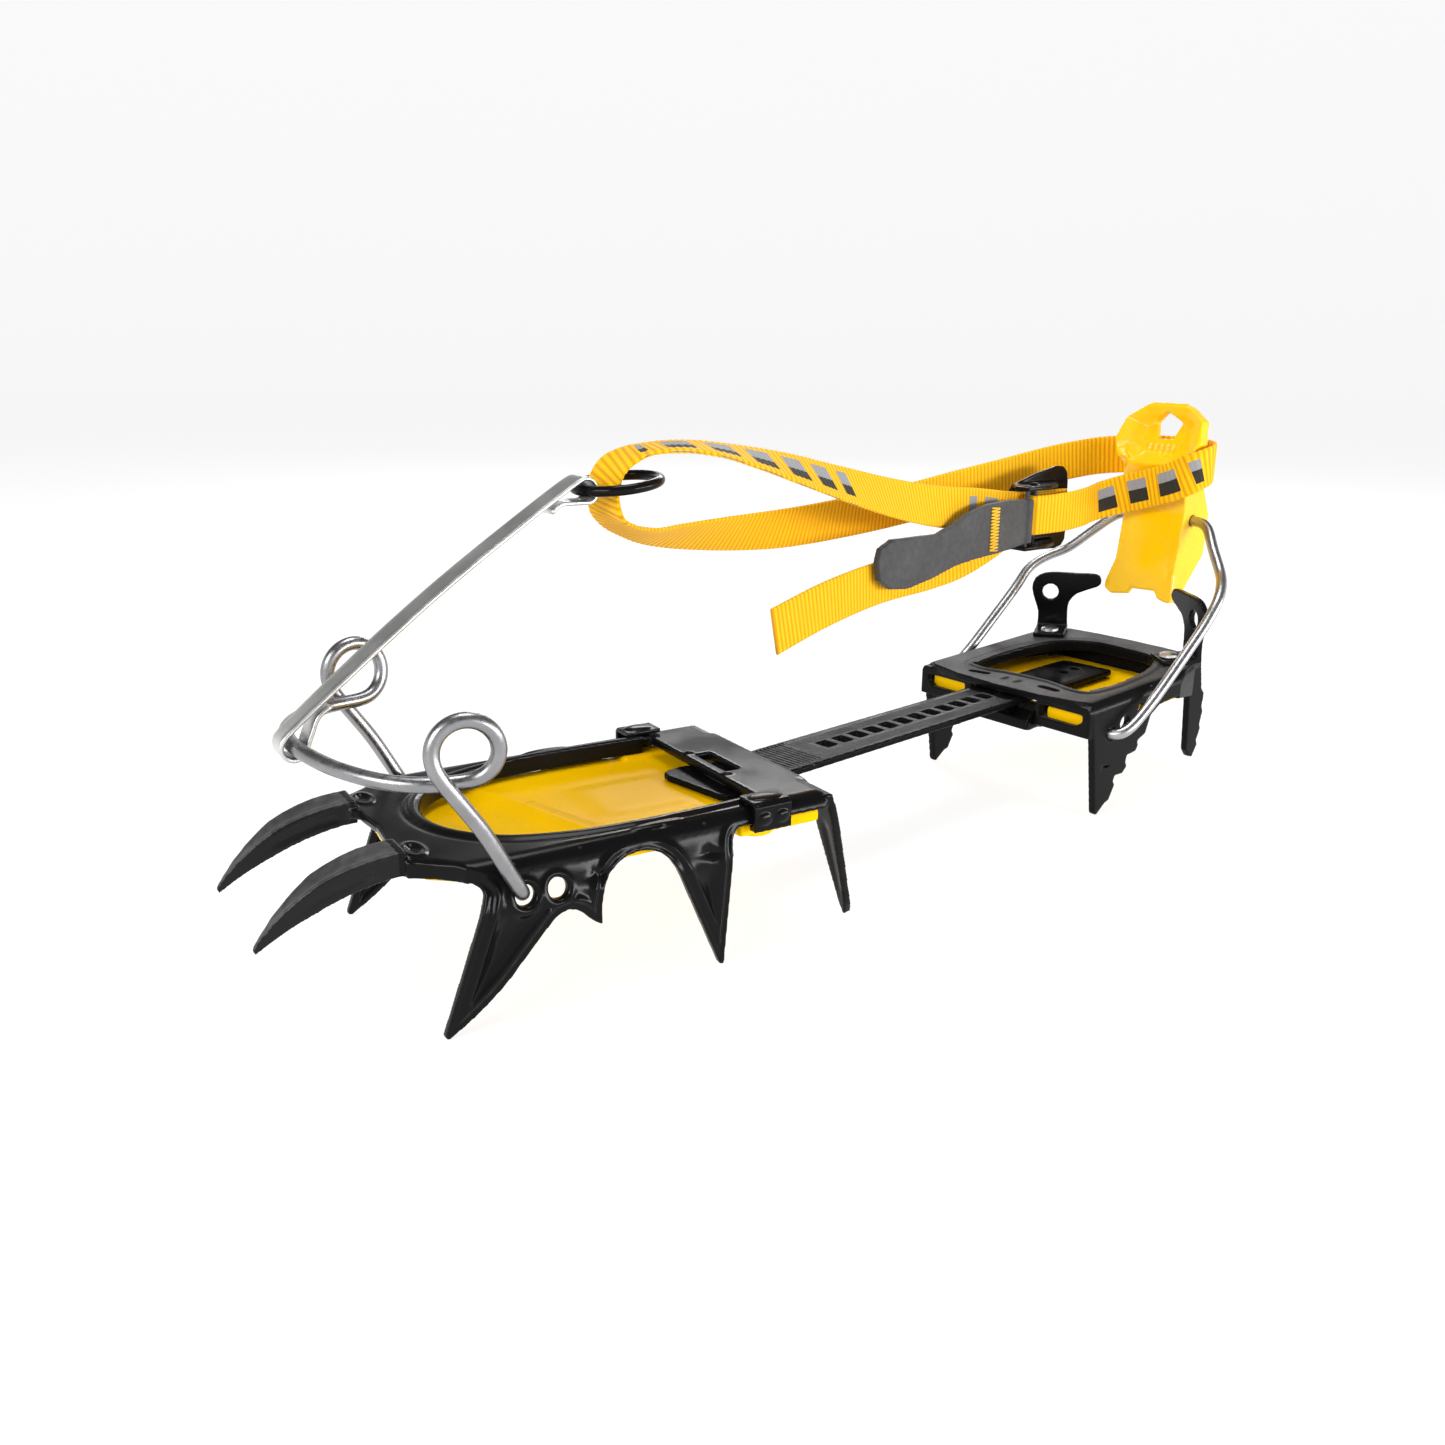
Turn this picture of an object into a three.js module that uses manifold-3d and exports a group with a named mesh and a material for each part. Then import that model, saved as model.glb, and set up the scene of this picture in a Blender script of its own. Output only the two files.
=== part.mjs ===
// A strap-on mountaineering crampon (left foot, twelve points) with its ankle strap.
// Millimetres. +Z up, the toe points to -Y, the heel to +Y, the outer side of the foot to +X.
import * as THREE from 'three';
import { mergeVertices } from 'three/addons/utils/BufferGeometryUtils.js';
import Module from 'manifold-3d';

const wasm = await Module();
wasm.setup();

// ---- driving dimensions --------------------------------------------------------------------
const SHEET = 2.7;               // pressed steel of both frames
const HALF_WIDTH = 40.3;         // outside of the side flanges
const BEND = 5;                  // outside radius of the long bends
const FRONT_TOP = 43.2;          // top face of the front frame above the ground
const FRONT_YAW = -6.965;        // degrees, the toe turned towards the big-toe side
const FRONT_ORIGIN = [26.48, -1.48];
const REAR_TOP = 43.2;           // top face of the rear frame at its front edge
const REAR_PITCH = 3.4;          // degrees, heel end higher
const BAR_YAW = 4.9;             // degrees, the link bar joins the two frames
const BAR_WIDTH = 23;
const BAR_THICK = 2.1;
const BAR_TOP = 39.6;
const BAR_HOLE_PITCH = 7.8;
const WIRE = 4;                  // both bails
const TOE_PIVOT = [39, -224.5, 33.5];
const LOOP_RADIUS = 8.1;
const LOOP_CENTRE = [44, -238.9, 74.3];
const LOOP_TURN = 17;            // degrees, the loops face slightly forward
const ARCH_FRONT = [0, -268.4, 68.9];
const HEEL_PIVOT = [41, 12, 30];
const BAIL_TOP = [20, 92, 97];
const LEVER_LEAN = 7.6;          // degrees, top of the heel lever leaning back
const LEVER_HALF = 14;
const WEBBING = [15, 1.5];       // width and thickness of the strap
const STRIP = [8, 1.2];          // spring steel strip over the instep
const RING_CENTRE = [-4.5, -169.4, 127.5];
const RING_RADIUS = 12.2;
const RING_WIRE = 3;
const LATCH_PIN = [0, 8, 32.4];
const POST_BASE = [33.4, 70.6];      // plan position of the outer heel post
const POST_HEADING = 148;        // degrees from +X, the way its hook points
const RIVET_REACH = 9.6;         // from the post's plane to its rivet
const BUCKLE_BAR = [-14.6, 28];  // plan position of the upright bar that holds the sewn end
const TAB_PIN = [-12.2, 21.4];
const TAB_TURN = 7;              // degrees, the free end of the tab stands outwards
const GAP = 0.35;                // clearance between touching pieces

// ---- colours -------------------------------------------------------------------------------
const paint = (color, roughness, metalness) =>
  new THREE.MeshStandardMaterial({ color, roughness, metalness });
const BLACK_STEEL = paint(0x17171a, 0.3, 0.6);
const GREY_WIRE = paint(0x84868a, 0.4, 1);
const BRIGHT_WIRE = paint(0xb9bbbe, 0.25, 1);
const YELLOW_PLASTIC = paint(0xffcb05, 0.35, 0);
const YELLOW_WEBBING = paint(0xf6b400, 0.8, 0);
const GREY_RUBBER = paint(0x3b3c3f, 0.75, 0);
const BLACK_PLASTIC = paint(0x1d1d20, 0.45, 0);

// ---- small tools ---------------------------------------------------------------------------
const rad = THREE.MathUtils.degToRad;
const vec = (p) => new THREE.Vector3(...p);
const mirrorX = (points) => points.map(([x, ...rest]) => [-x, ...rest]);

function solid(geometry) {
  const g = geometry.clone();
  for (const name of ['normal', 'uv']) g.deleteAttribute(name);
  const merged = mergeVertices(g, 1e-4);
  return new wasm.Manifold(new wasm.Mesh({
    numProp: 3,
    vertProperties: new Float32Array(merged.attributes.position.array),
    triVerts: new Uint32Array(merged.index.array),
  }));
}

function geometryOf(manifold) {
  const mesh = manifold.getMesh();
  const g = new THREE.BufferGeometry();
  g.setAttribute('position', new THREE.BufferAttribute(mesh.vertProperties, 3));
  g.setIndex(new THREE.BufferAttribute(mesh.triVerts, 1));
  return g;
}

// the same body moved by a matrix; a mirroring matrix turns its faces round again
function moved(body, matrix) {
  const g = geometryOf(body).applyMatrix4(matrix);
  if (matrix.determinant() < 0) g.index.array.reverse();
  return solid(g);
}
const MIRROR = new THREE.Matrix4().makeScale(-1, 1, 1);
const shift = (x, y, z) => new THREE.Matrix4().makeTranslation(x, y, z);

const join = (...solids) => solids.reduce((a, b) => a.add(b));
const cut = (body, ...tools) => tools.reduce((a, b) => a.subtract(b), body);

function outline(points) {
  return new THREE.Shape(points.map(([a, b]) => new THREE.Vector2(a, b)));
}

// the same outline with a smooth curve through its points
function smoothed(points, perSpan) {
  const path = new THREE.CatmullRomCurve3(points.map(([a, b]) => vec([a, b, 0])), false, 'centripetal');
  return path.getPoints((points.length - 1) * perSpan).map((p) => [p.x, p.y]);
}

// extrude an outline whose axes are given, along the third axis
function slab(shape, from, to, axes, curveSegments = 6) {
  const g = new THREE.ExtrudeGeometry(shape, {
    depth: to - from, bevelEnabled: false, curveSegments });
  g.translate(0, 0, from);
  const basis = { xy: [1, 0, 0, 0, 1, 0, 0, 0, 1], yz: [0, 1, 0, 0, 0, 1, 1, 0, 0],
    xz: [1, 0, 0, 0, 0, 1, 0, -1, 0] }[axes];
  const m = new THREE.Matrix4().makeBasis(
    vec(basis.slice(0, 3)), vec(basis.slice(3, 6)), vec(basis.slice(6)));
  g.applyMatrix4(m);
  return solid(g);
}
const slabZ = (points, z0, z1) => slab(outline(points), z0, z1, 'xy');
const slabX = (points, x0, x1) => slab(outline(points), x0, x1, 'yz');
const slabY = (points, y0, y1) => slab(outline(points), -y1, -y0, 'xz');

function box(x0, x1, y0, y1, z0, z1) {
  const g = new THREE.BoxGeometry(x1 - x0, y1 - y0, z1 - z0);
  g.translate((x0 + x1) / 2, (y0 + y1) / 2, (z0 + z1) / 2);
  return solid(g);
}

// round bar along X, Y or Z
function rod(radius, from, to, sides = 12) {
  const a = vec(from);
  const b = vec(to);
  const g = new THREE.CylinderGeometry(radius, radius, a.distanceTo(b), sides);
  const q = new THREE.Quaternion().setFromUnitVectors(
    new THREE.Vector3(0, 1, 0), b.clone().sub(a).normalize());
  g.applyQuaternion(q);
  g.translate(...a.clone().add(b).multiplyScalar(0.5).toArray());
  return solid(g);
}

// round wire along a smooth curve
function wire(points, diameter, steps, sides = 8, tension = 0.5) {
  const path = new THREE.CatmullRomCurve3(points.map(vec), false, 'centripetal', tension);
  const section = new THREE.Shape().absarc(0, 0, diameter / 2, 0, 2 * Math.PI);
  return new THREE.ExtrudeGeometry(section, {
    steps, extrudePath: path, bevelEnabled: false, curveSegments: sides });
}

// flat band through stations {at, across}, where across is the direction of the width
function band(stations, width, thick) {
  const n = stations.length;
  const at = stations.map((s) => vec(s.at));
  const position = [];
  at.forEach((p, i) => {
    const along = at[Math.min(i + 1, n - 1)].clone().sub(at[Math.max(i - 1, 0)]).normalize();
    const across = vec(stations[i].across);
    across.addScaledVector(along, -across.dot(along)).normalize();
    const normal = along.clone().cross(across);
    for (const [w, t] of [[-1, -1], [1, -1], [1, 1], [-1, 1]]) {
      const corner = p.clone().addScaledVector(across, w * width / 2)
        .addScaledVector(normal, t * thick / 2);
      position.push(...corner.toArray());
    }
  });
  const index = [0, 2, 1, 0, 3, 2];
  for (let i = 0; i < n - 1; i += 1) {
    for (let k = 0; k < 4; k += 1) {
      const a = 4 * i + k;
      const b = 4 * i + (k + 1) % 4;
      index.push(a, b, b + 4, a, b + 4, a + 4);
    }
  }
  const e = 4 * (n - 1);
  index.push(e, e + 1, e + 2, e, e + 2, e + 3);
  const g = new THREE.BufferGeometry();
  g.setAttribute('position', new THREE.Float32BufferAttribute(position, 3));
  g.setIndex(index);
  return g;
}

// stations along a smooth curve through the points; across turns smoothly from point to point
function stationsThrough(points, perSpan) {
  const path = new THREE.CatmullRomCurve3(points.map((p) => vec(p.at)), false, 'centripetal');
  const across = new THREE.CatmullRomCurve3(points.map((p) => vec(p.across)), false, 'centripetal');
  const count = (points.length - 1) * perSpan;
  return Array.from({ length: count + 1 }, (_, i) => ({
    at: path.getPoint(i / count).toArray(), across: across.getPoint(i / count).toArray() }));
}

const model = new THREE.Group();
const frontGroup = new THREE.Group();
const barGroup = new THREE.Group();
const rearGroup = new THREE.Group();
const leverGroup = new THREE.Group();
model.add(frontGroup, barGroup, rearGroup, leverGroup);

function place(name, shape, material, group = model) {
  const geometry = shape.isBufferGeometry ? shape : geometryOf(shape);
  const mesh = new THREE.Mesh(geometry, material);
  mesh.name = name;
  group.add(mesh);
  return mesh;
}

// ---- front frame ---------------------------------------------------------------------------
// A pressed channel: two side flanges with the downward points, a window, two front points and
// two rear points. Its own axes are straight; the group turns them.
function channelSection(top, halfWidth, sheet, bend, depth) {
  const inner = bend - sheet;
  const s = new THREE.Shape();
  s.moveTo(halfWidth, top - depth);
  s.lineTo(halfWidth, top - bend);
  s.absarc(halfWidth - bend, top - bend, bend, 0, Math.PI / 2);
  s.lineTo(-halfWidth + bend, top);
  s.absarc(-halfWidth + bend, top - bend, bend, Math.PI / 2, Math.PI);
  s.lineTo(-halfWidth, top - depth);
  s.lineTo(-halfWidth + sheet, top - depth);
  s.lineTo(-halfWidth + sheet, top - bend);
  s.absarc(-halfWidth + bend, top - bend, inner, Math.PI, Math.PI / 2, true);
  s.lineTo(halfWidth - bend, top - sheet);
  s.absarc(halfWidth - bend, top - bend, inner, Math.PI / 2, 0, true);
  s.lineTo(halfWidth - sheet, top - depth);
  return s;
}

function frontSideView() {
  const s = new THREE.Shape();
  s.moveTo(-256, FRONT_TOP + 1);
  s.lineTo(-256, 38.6);
  s.lineTo(-240, 38.6);
  s.quadraticCurveTo(-235, 38.3, -234.6, 35.5);
  s.lineTo(-247.6, 0.6);
  s.lineTo(-246.6, 0);
  s.quadraticCurveTo(-236, 6, -229.6, 12.6);
  s.lineTo(-217.5, 25.6);
  s.quadraticCurveTo(-213, 29.4, -209, 25.4);
  s.quadraticCurveTo(-206.5, 22.4, -203.6, 21);
  s.quadraticCurveTo(-204.2, 27, -202.6, 31.4);
  s.quadraticCurveTo(-199, 38, -191, 38);
  s.quadraticCurveTo(-184, 38, -181, 31.4);
  s.lineTo(-168, 0.4);
  s.lineTo(-166.8, 0);
  s.lineTo(-163.6, 33);
  s.quadraticCurveTo(-163, 38.6, -159, 38.6);
  s.lineTo(-127, 38.6);
  s.lineTo(-127, FRONT_TOP + 1);
  return s;
}

function frontPlan() {
  const right = [[36, -128.5], [39.2, -129.6], [40.6, -132], [41, -135], [41, -231], [38.5, -236.5],
    [31, -243], [26.5, -250], [15.8, -252], [12, -249.6], [0, -248.6]];
  return [...right, ...mirrorX(right.slice(0, -1)).reverse()];
}

function frontWindow() {
  const right = smoothed([[31.5, -149], [33.2, -160], [33, -195], [31, -209], [25, -224], [13, -234.5],
    [0, -237.6]], 3);
  return [...right, ...mirrorX(right.slice(0, -1)).reverse()];
}

// one of the two forward points: a ribbed blade, curved down and drawn to a tip
function frontPoint(side) {
  const s = new THREE.Shape();
  s.moveTo(-249, 45.2);
  s.quadraticCurveTo(-262, 44.8, -271, 40.2);
  s.quadraticCurveTo(-281, 34, -286.8, 25.4);
  s.lineTo(-286.2, 24.2);
  s.quadraticCurveTo(-277, 31, -268, 34.6);
  s.quadraticCurveTo(-258, 38.6, -249, 38.6);
  const blade = slab(s, -7, 7, 'yz', 5);
  const taper = slabZ([[5.4, -248.5], [5.2, -260], [4, -272], [1.6, -283], [0.7, -287.5],
    [-0.7, -287.5], [-1.6, -283], [-4, -272], [-5.2, -260], [-5.4, -248.5]], 0, 60);
  const groove = slabZ([[2.6, -240], [2.2, -258], [0, -270], [-2.2, -258], [-2.6, -240]], 20, 37.4);
  return moved(cut(blade.intersect(taper), groove), shift(side * 21, 0, 0));
}

// the point bent down behind the cross member, on the outer side
function rearPoint() {
  const blade = [[29.2, 3], [39.4, 3], [39.4, -7], [36.2, -37], [35, -40.6], [34.2, -40.6],
    [33, -37], [30.2, -12]];
  const lean = new THREE.Matrix4().makeRotationX(rad(15));
  const root = shift(0, -127.4, FRONT_TOP - SHEET);
  return moved(slabY(blade.reverse(), -SHEET, 0), root.multiply(lean));
}

function frontFrame() {
  const section = slab(channelSection(FRONT_TOP, HALF_WIDTH, SHEET, BEND, 46), 120, 262, 'xz', 4);
  const side = slab(frontSideView(), -45, 45, 'yz', 4);
  const plan = join(slabZ(frontPlan(), 36, 60), box(-45, 45, -262, -120, -5, 36));
  const pressed = cut(section.intersect(side).intersect(plan),
    slabZ(frontWindow(), 39, 50), box(-9, 9, -145.6, -140.6, 39, 50));
  const bailHole = (y) => rod(2.8, [-50, y, TOE_PIVOT[2]], [50, y, TOE_PIVOT[2]]);
  const rear = rearPoint();
  return cut(join(pressed, frontPoint(1), frontPoint(-1), rear, moved(rear, MIRROR)),
    bailHole(TOE_PIVOT[1]), bailHole(TOE_PIVOT[1] + 8.9));
}

// the yellow snow-shedding plate under the front frame, with raised rims behind the last fangs
function frontAntibott() {
  const half = [[24, -129.6], [36.8, -131.5], [36.8, -211], [34, -214], [34, -232], [24, -244],
    [0, -246.5]];
  const sheet = slabZ([...half, ...mirrorX(half.slice(0, -1)).reverse()], 35.2, 37);
  const rim = box(31, 38.7, -159, -132.5, 34.6, 38.2);
  const bump = rod(5.2, [33.4, -151, 33.4], [33.4, -151, 35.6]);
  const ribs = [-150, -175, -200, -222].map((y) => box(-30, 30, y - 1, y + 1, 32.4, 35.6));
  const spine = box(-1.2, 1.2, -236, -136, 31.6, 35.6);
  return join(sheet, rim, moved(rim, MIRROR), bump, moved(bump, MIRROR), spine, ...ribs);
}

// a clip that snaps over the side rail
function antibottClip() {
  const s = outline([[33.5, 45], [41.2, 45], [42.3, 43.8], [42.3, 36.6], [39.2, 36.6],
    [39.2, 38.2], [40.7, 38.2], [40.7, 43.55], [33.5, 43.55]]);
  return slab(s, 144.5, 156.5, 'xz');
}

// ---- toe bail ------------------------------------------------------------------------------
// One wire: up from the hole, once round the loop, forward round the arch and back the same way.
function toeBail() {
  const turn = rad(LOOP_TURN);
  const ahead = new THREE.Vector3(-Math.sin(turn), -Math.cos(turn), 0);
  const outward = new THREE.Vector3(Math.cos(turn), -Math.sin(turn), 0);
  const loop = [];
  for (let a = 62; a <= 350; a += 24) {
    const share = (a - 62) / 288;
    loop.push(vec(LOOP_CENTRE).addScaledVector(ahead, LOOP_RADIUS * Math.sin(rad(a)))
      .add(new THREE.Vector3(0, 0, -LOOP_RADIUS * Math.cos(rad(a))))
      .addScaledVector(outward, 2.5 - 5 * share).toArray());
  }
  const [x, y, z] = TOE_PIVOT;
  const leg = [[x - 4.2, y, z], [x + 1.2, y, z], [x + 3.4, y - 1, z + 1.4],
    [x + 4.2, y - 3.4, z + 5.6], [x + 5.4, y - 11, z + 20], [x + 5.6, y - 15.9, z + 27.5]];
  const arch = [[39.4, -247.4, 66.2], [33.6, -255.6, 66.7], [23, -262.8, 67.7],
    [11.5, -267, 68.6]];
  const half = [...leg, ...loop, ...arch];
  return wire([...half, ARCH_FRONT, ...mirrorX(half).reverse()], WIRE, 112, 4);
}

// ---- ankle strip and ring ------------------------------------------------------------------
// Points of a strip end wrapped round a wire: it comes from above, goes round the far side and
// lies back under itself. ahead points away from the strip, up away from the wire's underside.
function wrapEnd(centre, wireDiameter, ahead, up, tail, slack) {
  const r = wireDiameter / 2 + slack + STRIP[1] / 2;
  const points = [];
  for (let a = 0; a <= 180; a += 30) {
    points.push(vec(centre).addScaledVector(ahead, r * Math.sin(rad(a)))
      .addScaledVector(up, r * Math.cos(rad(a))));
  }
  const last = points[points.length - 1];
  for (const step of [0.35, 0.7, 1]) {
    points.push(last.clone().addScaledVector(ahead, -tail * step)
      .addScaledVector(up, (r * 2 - STRIP[1] - GAP) * Math.min(1, step * 1.4)));
  }
  return points;
}

function ankleStrip() {
  const front = frontGroup.localToWorld(vec(ARCH_FRONT));
  const ringEdge = new THREE.Vector3(-4.9, RING_CENTRE[1] - RING_RADIUS, RING_CENTRE[2] - 1.2);
  const along = ringEdge.clone().sub(front).normalize();
  const across = new THREE.Vector3(1, 0, 0);
  const up = across.clone().cross(along).normalize();
  const low = wrapEnd(front, WIRE, along.clone().negate(), up, 13, 0.9);
  const high = wrapEnd(ringEdge, RING_WIRE, along, up, 12, 1.4);
  const span = [0.25, 0.5, 0.75].map((t) => low[0].clone().lerp(high[0], t)
    .addScaledVector(up, 2.2 * Math.sin(Math.PI * t)));
  const lowAcross = [Math.cos(rad(FRONT_YAW)), Math.sin(rad(FRONT_YAW)), 0];
  return band([
    ...low.reverse().map((p) => ({ at: p.toArray(), across: lowAcross })),
    ...[...span, ...high].map((p) => ({ at: p.toArray(), across: [1, 0, 0] })),
  ], ...STRIP);
}

function strapRing() {
  const g = new THREE.TorusGeometry(RING_RADIUS, RING_WIRE / 2, 8, 32);
  g.rotateX(rad(6));
  g.translate(...RING_CENTRE);
  return geometryOf(solid(g));
}

// ---- link bar ------------------------------------------------------------------------------
// Spring steel bar with a T-shaped front end, a row of adjusting holes and two rear holes.
const BAR_FRONT = -157;
const BAR_REAR = 58.5;
function linkBar() {
  const w = BAR_WIDTH / 2;
  const half = [[11, BAR_FRONT], [14, BAR_FRONT + 1], [15, BAR_FRONT + 3.6], [15, BAR_FRONT + 9],
    [14, BAR_FRONT + 11.4], [w, BAR_FRONT + 13], [w, BAR_REAR - 1.5], [w - 1.5, BAR_REAR]];
  const plate = slabZ([...half, ...mirrorX(half).reverse()], BAR_TOP - BAR_THICK, BAR_TOP);
  const holes = [];
  for (let i = 0; i < 13; i += 1) {
    const y = -98 + i * BAR_HOLE_PITCH;
    holes.push(box(-2.1, 2.1, y - 1.6, y + 1.6, 30, 50));
  }
  for (const y of [41, 49]) holes.push(rod(1.9, [0, y, 30], [0, y, 50], 10));
  return cut(plate, ...holes);
}

// ---- rear frame ----------------------------------------------------------------------------
const PITCH = shift(0, 0, REAR_TOP).multiply(new THREE.Matrix4().makeRotationX(rad(REAR_PITCH)));

// an upright sheet whose inner face starts at a plan point and runs along a heading
function panel(points, at, heading, thick = SHEET) {
  const turn = new THREE.Matrix4().makeRotationZ(rad(heading));
  return moved(slabY(points, -thick, 0), shift(at[0], at[1], 0).multiply(turn));
}

function rearPlan() {
  const right = [[40.6, 52], [37, 64], [35.4, 73], [29, 77.5], [14, 79], [0, 79.3]];
  const front = [[0, -4.8], [20, -3.8], [34, -1], [40.6, 3]];
  return [...front, ...right, ...mirrorX([...front, ...right]).reverse().slice(1, -1)];
}

function rearWindow() {
  return smoothed([[-23, 9.6], [-16, 8.6], [-8, 10.6], [12, 12], [25, 9.8], [30, 11], [32, 20], [31.6, 36],
    [28.6, 52], [20.6, 65], [6, 68], [-9.4, 67.4], [-21.6, 57.6], [-25.4, 40], [-25.6, 22], [-24.6, 11.6]], 2);
}

// outer side flange: a fang with a stepped rear edge and a low lip behind it
function rearFlange() {
  const steps = [[0.6, 41.6], [0.8, 36], [6.3, 0.8], [7.6, 0], [12.4, 3.8], [14.4, 4.2], [17.4, 9.8],
    [16.2, 11.2], [17, 13.4], [21.4, 13.2], [23.9, 15.6], [22.8, 17.4], [23.4, 20], [28.4, 20.4],
    [29.8, 22.6], [29, 24.4], [33.6, 26.4], [36, 33], [41, 36.2], [54, 37.6], [54, 45]];
  const side = cut(slabX(steps, HALF_WIDTH - SHEET + 0.3, HALF_WIDTH + 0.3),
    slabX([[27.4, 34.6], [33.6, 34.6], [34.6, 38.6], [28, 38.6]], 30, 50),
    slabX([[7.4, 19], [9, 17.2], [12, 17.2], [13.6, 19], [12, 18.4], [9, 18.4]], 30, 50));
  const link = panel([[-0.6, 36.4], [15.4, 34], [15.4, 45.4], [-0.6, 44.6]],
    [37.9, 53], 104.5);
  const teeth = [[66.8, 45.4], [68.6, 36], [71, 11], [73.5, 8], [75.6, 7.4], [78.4, 12], [77.6, 14],
    [79.4, 18.6], [78.6, 20.6], [79.8, 25.6], [78.8, 27.6], [79.4, 33], [77.4, 35], [75, 46]];
  const rearPoint = slabX(teeth, 32.4, 32.4 + SHEET);
  return join(side, link, rearPoint);
}

function rearFrame() {
  const plate = moved(cut(slabZ(rearPlan(), -SHEET, 0), slabZ(rearWindow(), -9, 9)), PITCH);
  const flange = rearFlange();
  const face = [[-40.4, 41.5], [-40.4, 30.4], [-14.6, 30.4], [-14.6, 40.3], [16.4, 40.3], [16.4, 30.4],
    [40.4, 30.4], [40.4, 41.5]];
  const openings = [1, -1].map((side) => {
    const hole = slabY([[18, 34], [34, 34], [37, 36], [37, 38.6], [18, 38.6]], -5, 5);
    return side > 0 ? hole : moved(hole, MIRROR);
  });
  const front = cut(slabY(face, -1.2, 1.5), ...openings);
  const back = slabY([[-33, 35], [33, 35], [33, 46], [-33, 46]], 73, 74.5);
  const ear = box(16.4, 18.4, 0, 12, 29.4, 41);
  const ears = join(ear, moved(ear, shift(-35, 0, 0)));
  const rounding = new THREE.Shape();
  const w = HALF_WIDTH + 0.3;
  rounding.moveTo(w, -60).lineTo(w, -BEND).absarc(w - BEND, -BEND, BEND, 0, Math.PI / 2);
  rounding.absarc(-w + BEND, -BEND, BEND, Math.PI / 2, Math.PI).lineTo(-w, -60);
  const hull = moved(slab(rounding, -90, 20, 'xz', 4), PITCH);
  const body = join(plate, flange, moved(flange, MIRROR), front, back, ears).intersect(hull);
  const bail = rod(2.7, [-50, HEEL_PIVOT[1], HEEL_PIVOT[2]], [50, HEEL_PIVOT[1], HEEL_PIVOT[2]]);
  const spare = rod(2.7, [-50, 20, 33], [50, 20, 33]);
  const pin = rod(1.9, [-20, LATCH_PIN[1], LATCH_PIN[2]], [20, LATCH_PIN[1], LATCH_PIN[2]], 10);
  const [px, py] = POST_BASE;
  const post = shift(px, py, 0).multiply(new THREE.Matrix4().makeRotationZ(rad(POST_HEADING)));
  const rivet = moved(rod(2.15, [0, RIVET_REACH, -9], [0, RIVET_REACH, 9]), PITCH.clone().multiply(post));
  return cut(body, bail, spare, pin, rivet, moved(rivet, MIRROR));
}

// yellow snow-shedding plate under the rear frame; two lips show in the front openings
function rearAntibott() {
  const half = [[36.8, 2.2], [36.8, 50], [36, 58], [34.4, 64], [33.8, 66], [31.6, 66.2], [31.6, 70],
    [28, 72.4], [0, 72.4]];
  const plate = slabZ([...half, ...mirrorX(half.slice(0, -1)).reverse()], 34.6, 37);
  const notch = box(-19.1, 19, 0, 20, 30, 40);
  const lip = box(19.4, 36.6, 2.2, 4.2, 33, 39.2);
  const ribs = [28, 42, 56].map((y) => box(-28, 28, y - 1, y + 1, 32, 35));
  return join(cut(plate, notch), lip, moved(lip, MIRROR), ...ribs);
}

// ---- length adjuster latch -----------------------------------------------------------------
function adjusterLatch() {
  const [, y, z] = LATCH_PIN;
  const side = [[-5.5, 28.8], [-3, 28.2], [12, 29.4], [13, 31], [13, 34.6], [9, 35.2], [-1.5, 35.2],
    [-4.5, 32.5]];
  const body = slabX(side, -14, 15.8);
  const tooth = box(-2, 4, 2.6, 5.4, 35, BAR_TOP - BAR_THICK - GAP);
  return cut(join(body, tooth), rod(2, [-20, y, z], [20, y, z], 10));
}

function latchPin() {
  const [, y, z] = LATCH_PIN;
  return rod(1.5, [-18.4, y, z], [18.6, y, z], 10);
}

// ---- heel posts ----------------------------------------------------------------------------
// In the rear plate's own plane: z is 0 on its top face. A hooked plate with a foot and a rivet.
function heelPost() {
  const [x, y] = POST_BASE;
  const upright = outline([[-6.3, 0.4], ...smoothed([[6.3, 0.4], [6, 8], [6.6, 12.5], [9.8, 16.2],
    [17.5, 19.2], [19.2, 20.8], [18.6, 23.6], [16.4, 24.6], [9, 24.7], [2, 24.9], [-3.8, 24.4], [-7.6, 22.2],
    [-8.8, 18], [-7.4, 12.5], [-6, 8], [-6.2, 2]], 2)]);
  const eye = new THREE.Path().absellipse(-1.2, 16.6, 3.4, 3.4, 0, 2 * Math.PI, true);
  upright.holes.push(eye);
  const turn = shift(x, y, 0).multiply(new THREE.Matrix4().makeRotationZ(rad(POST_HEADING)));
  const foot = box(-6.3, 6.3, -1, 14, GAP, GAP + 1.8);
  const bore = rod(2.2, [0, RIVET_REACH, -9], [0, RIVET_REACH, 9]);
  return moved(cut(join(slab(upright, -1.1, 1.1, 'xz', 5), foot), bore), turn);
}

function heelRivet() {
  const [x, y] = POST_BASE;
  const turn = shift(x, y, 0).multiply(new THREE.Matrix4().makeRotationZ(rad(POST_HEADING)));
  const profile = [[0, -1.2 - SHEET], [3.4, -1.2 - SHEET], [3.4, -SHEET - 0.3], [1.8, -SHEET - 0.3],
    [1.8, GAP + 2.1], [3.6, GAP + 2.1], [3.3, GAP + 3], [1.8, GAP + 3.5], [0, GAP + 3.6]];
  const g = new THREE.LatheGeometry(profile.map(([r, z]) => new THREE.Vector2(r, z)), 14);
  g.rotateX(Math.PI / 2);
  g.translate(0, RIVET_REACH, 0);
  return moved(solid(g), turn);
}

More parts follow.
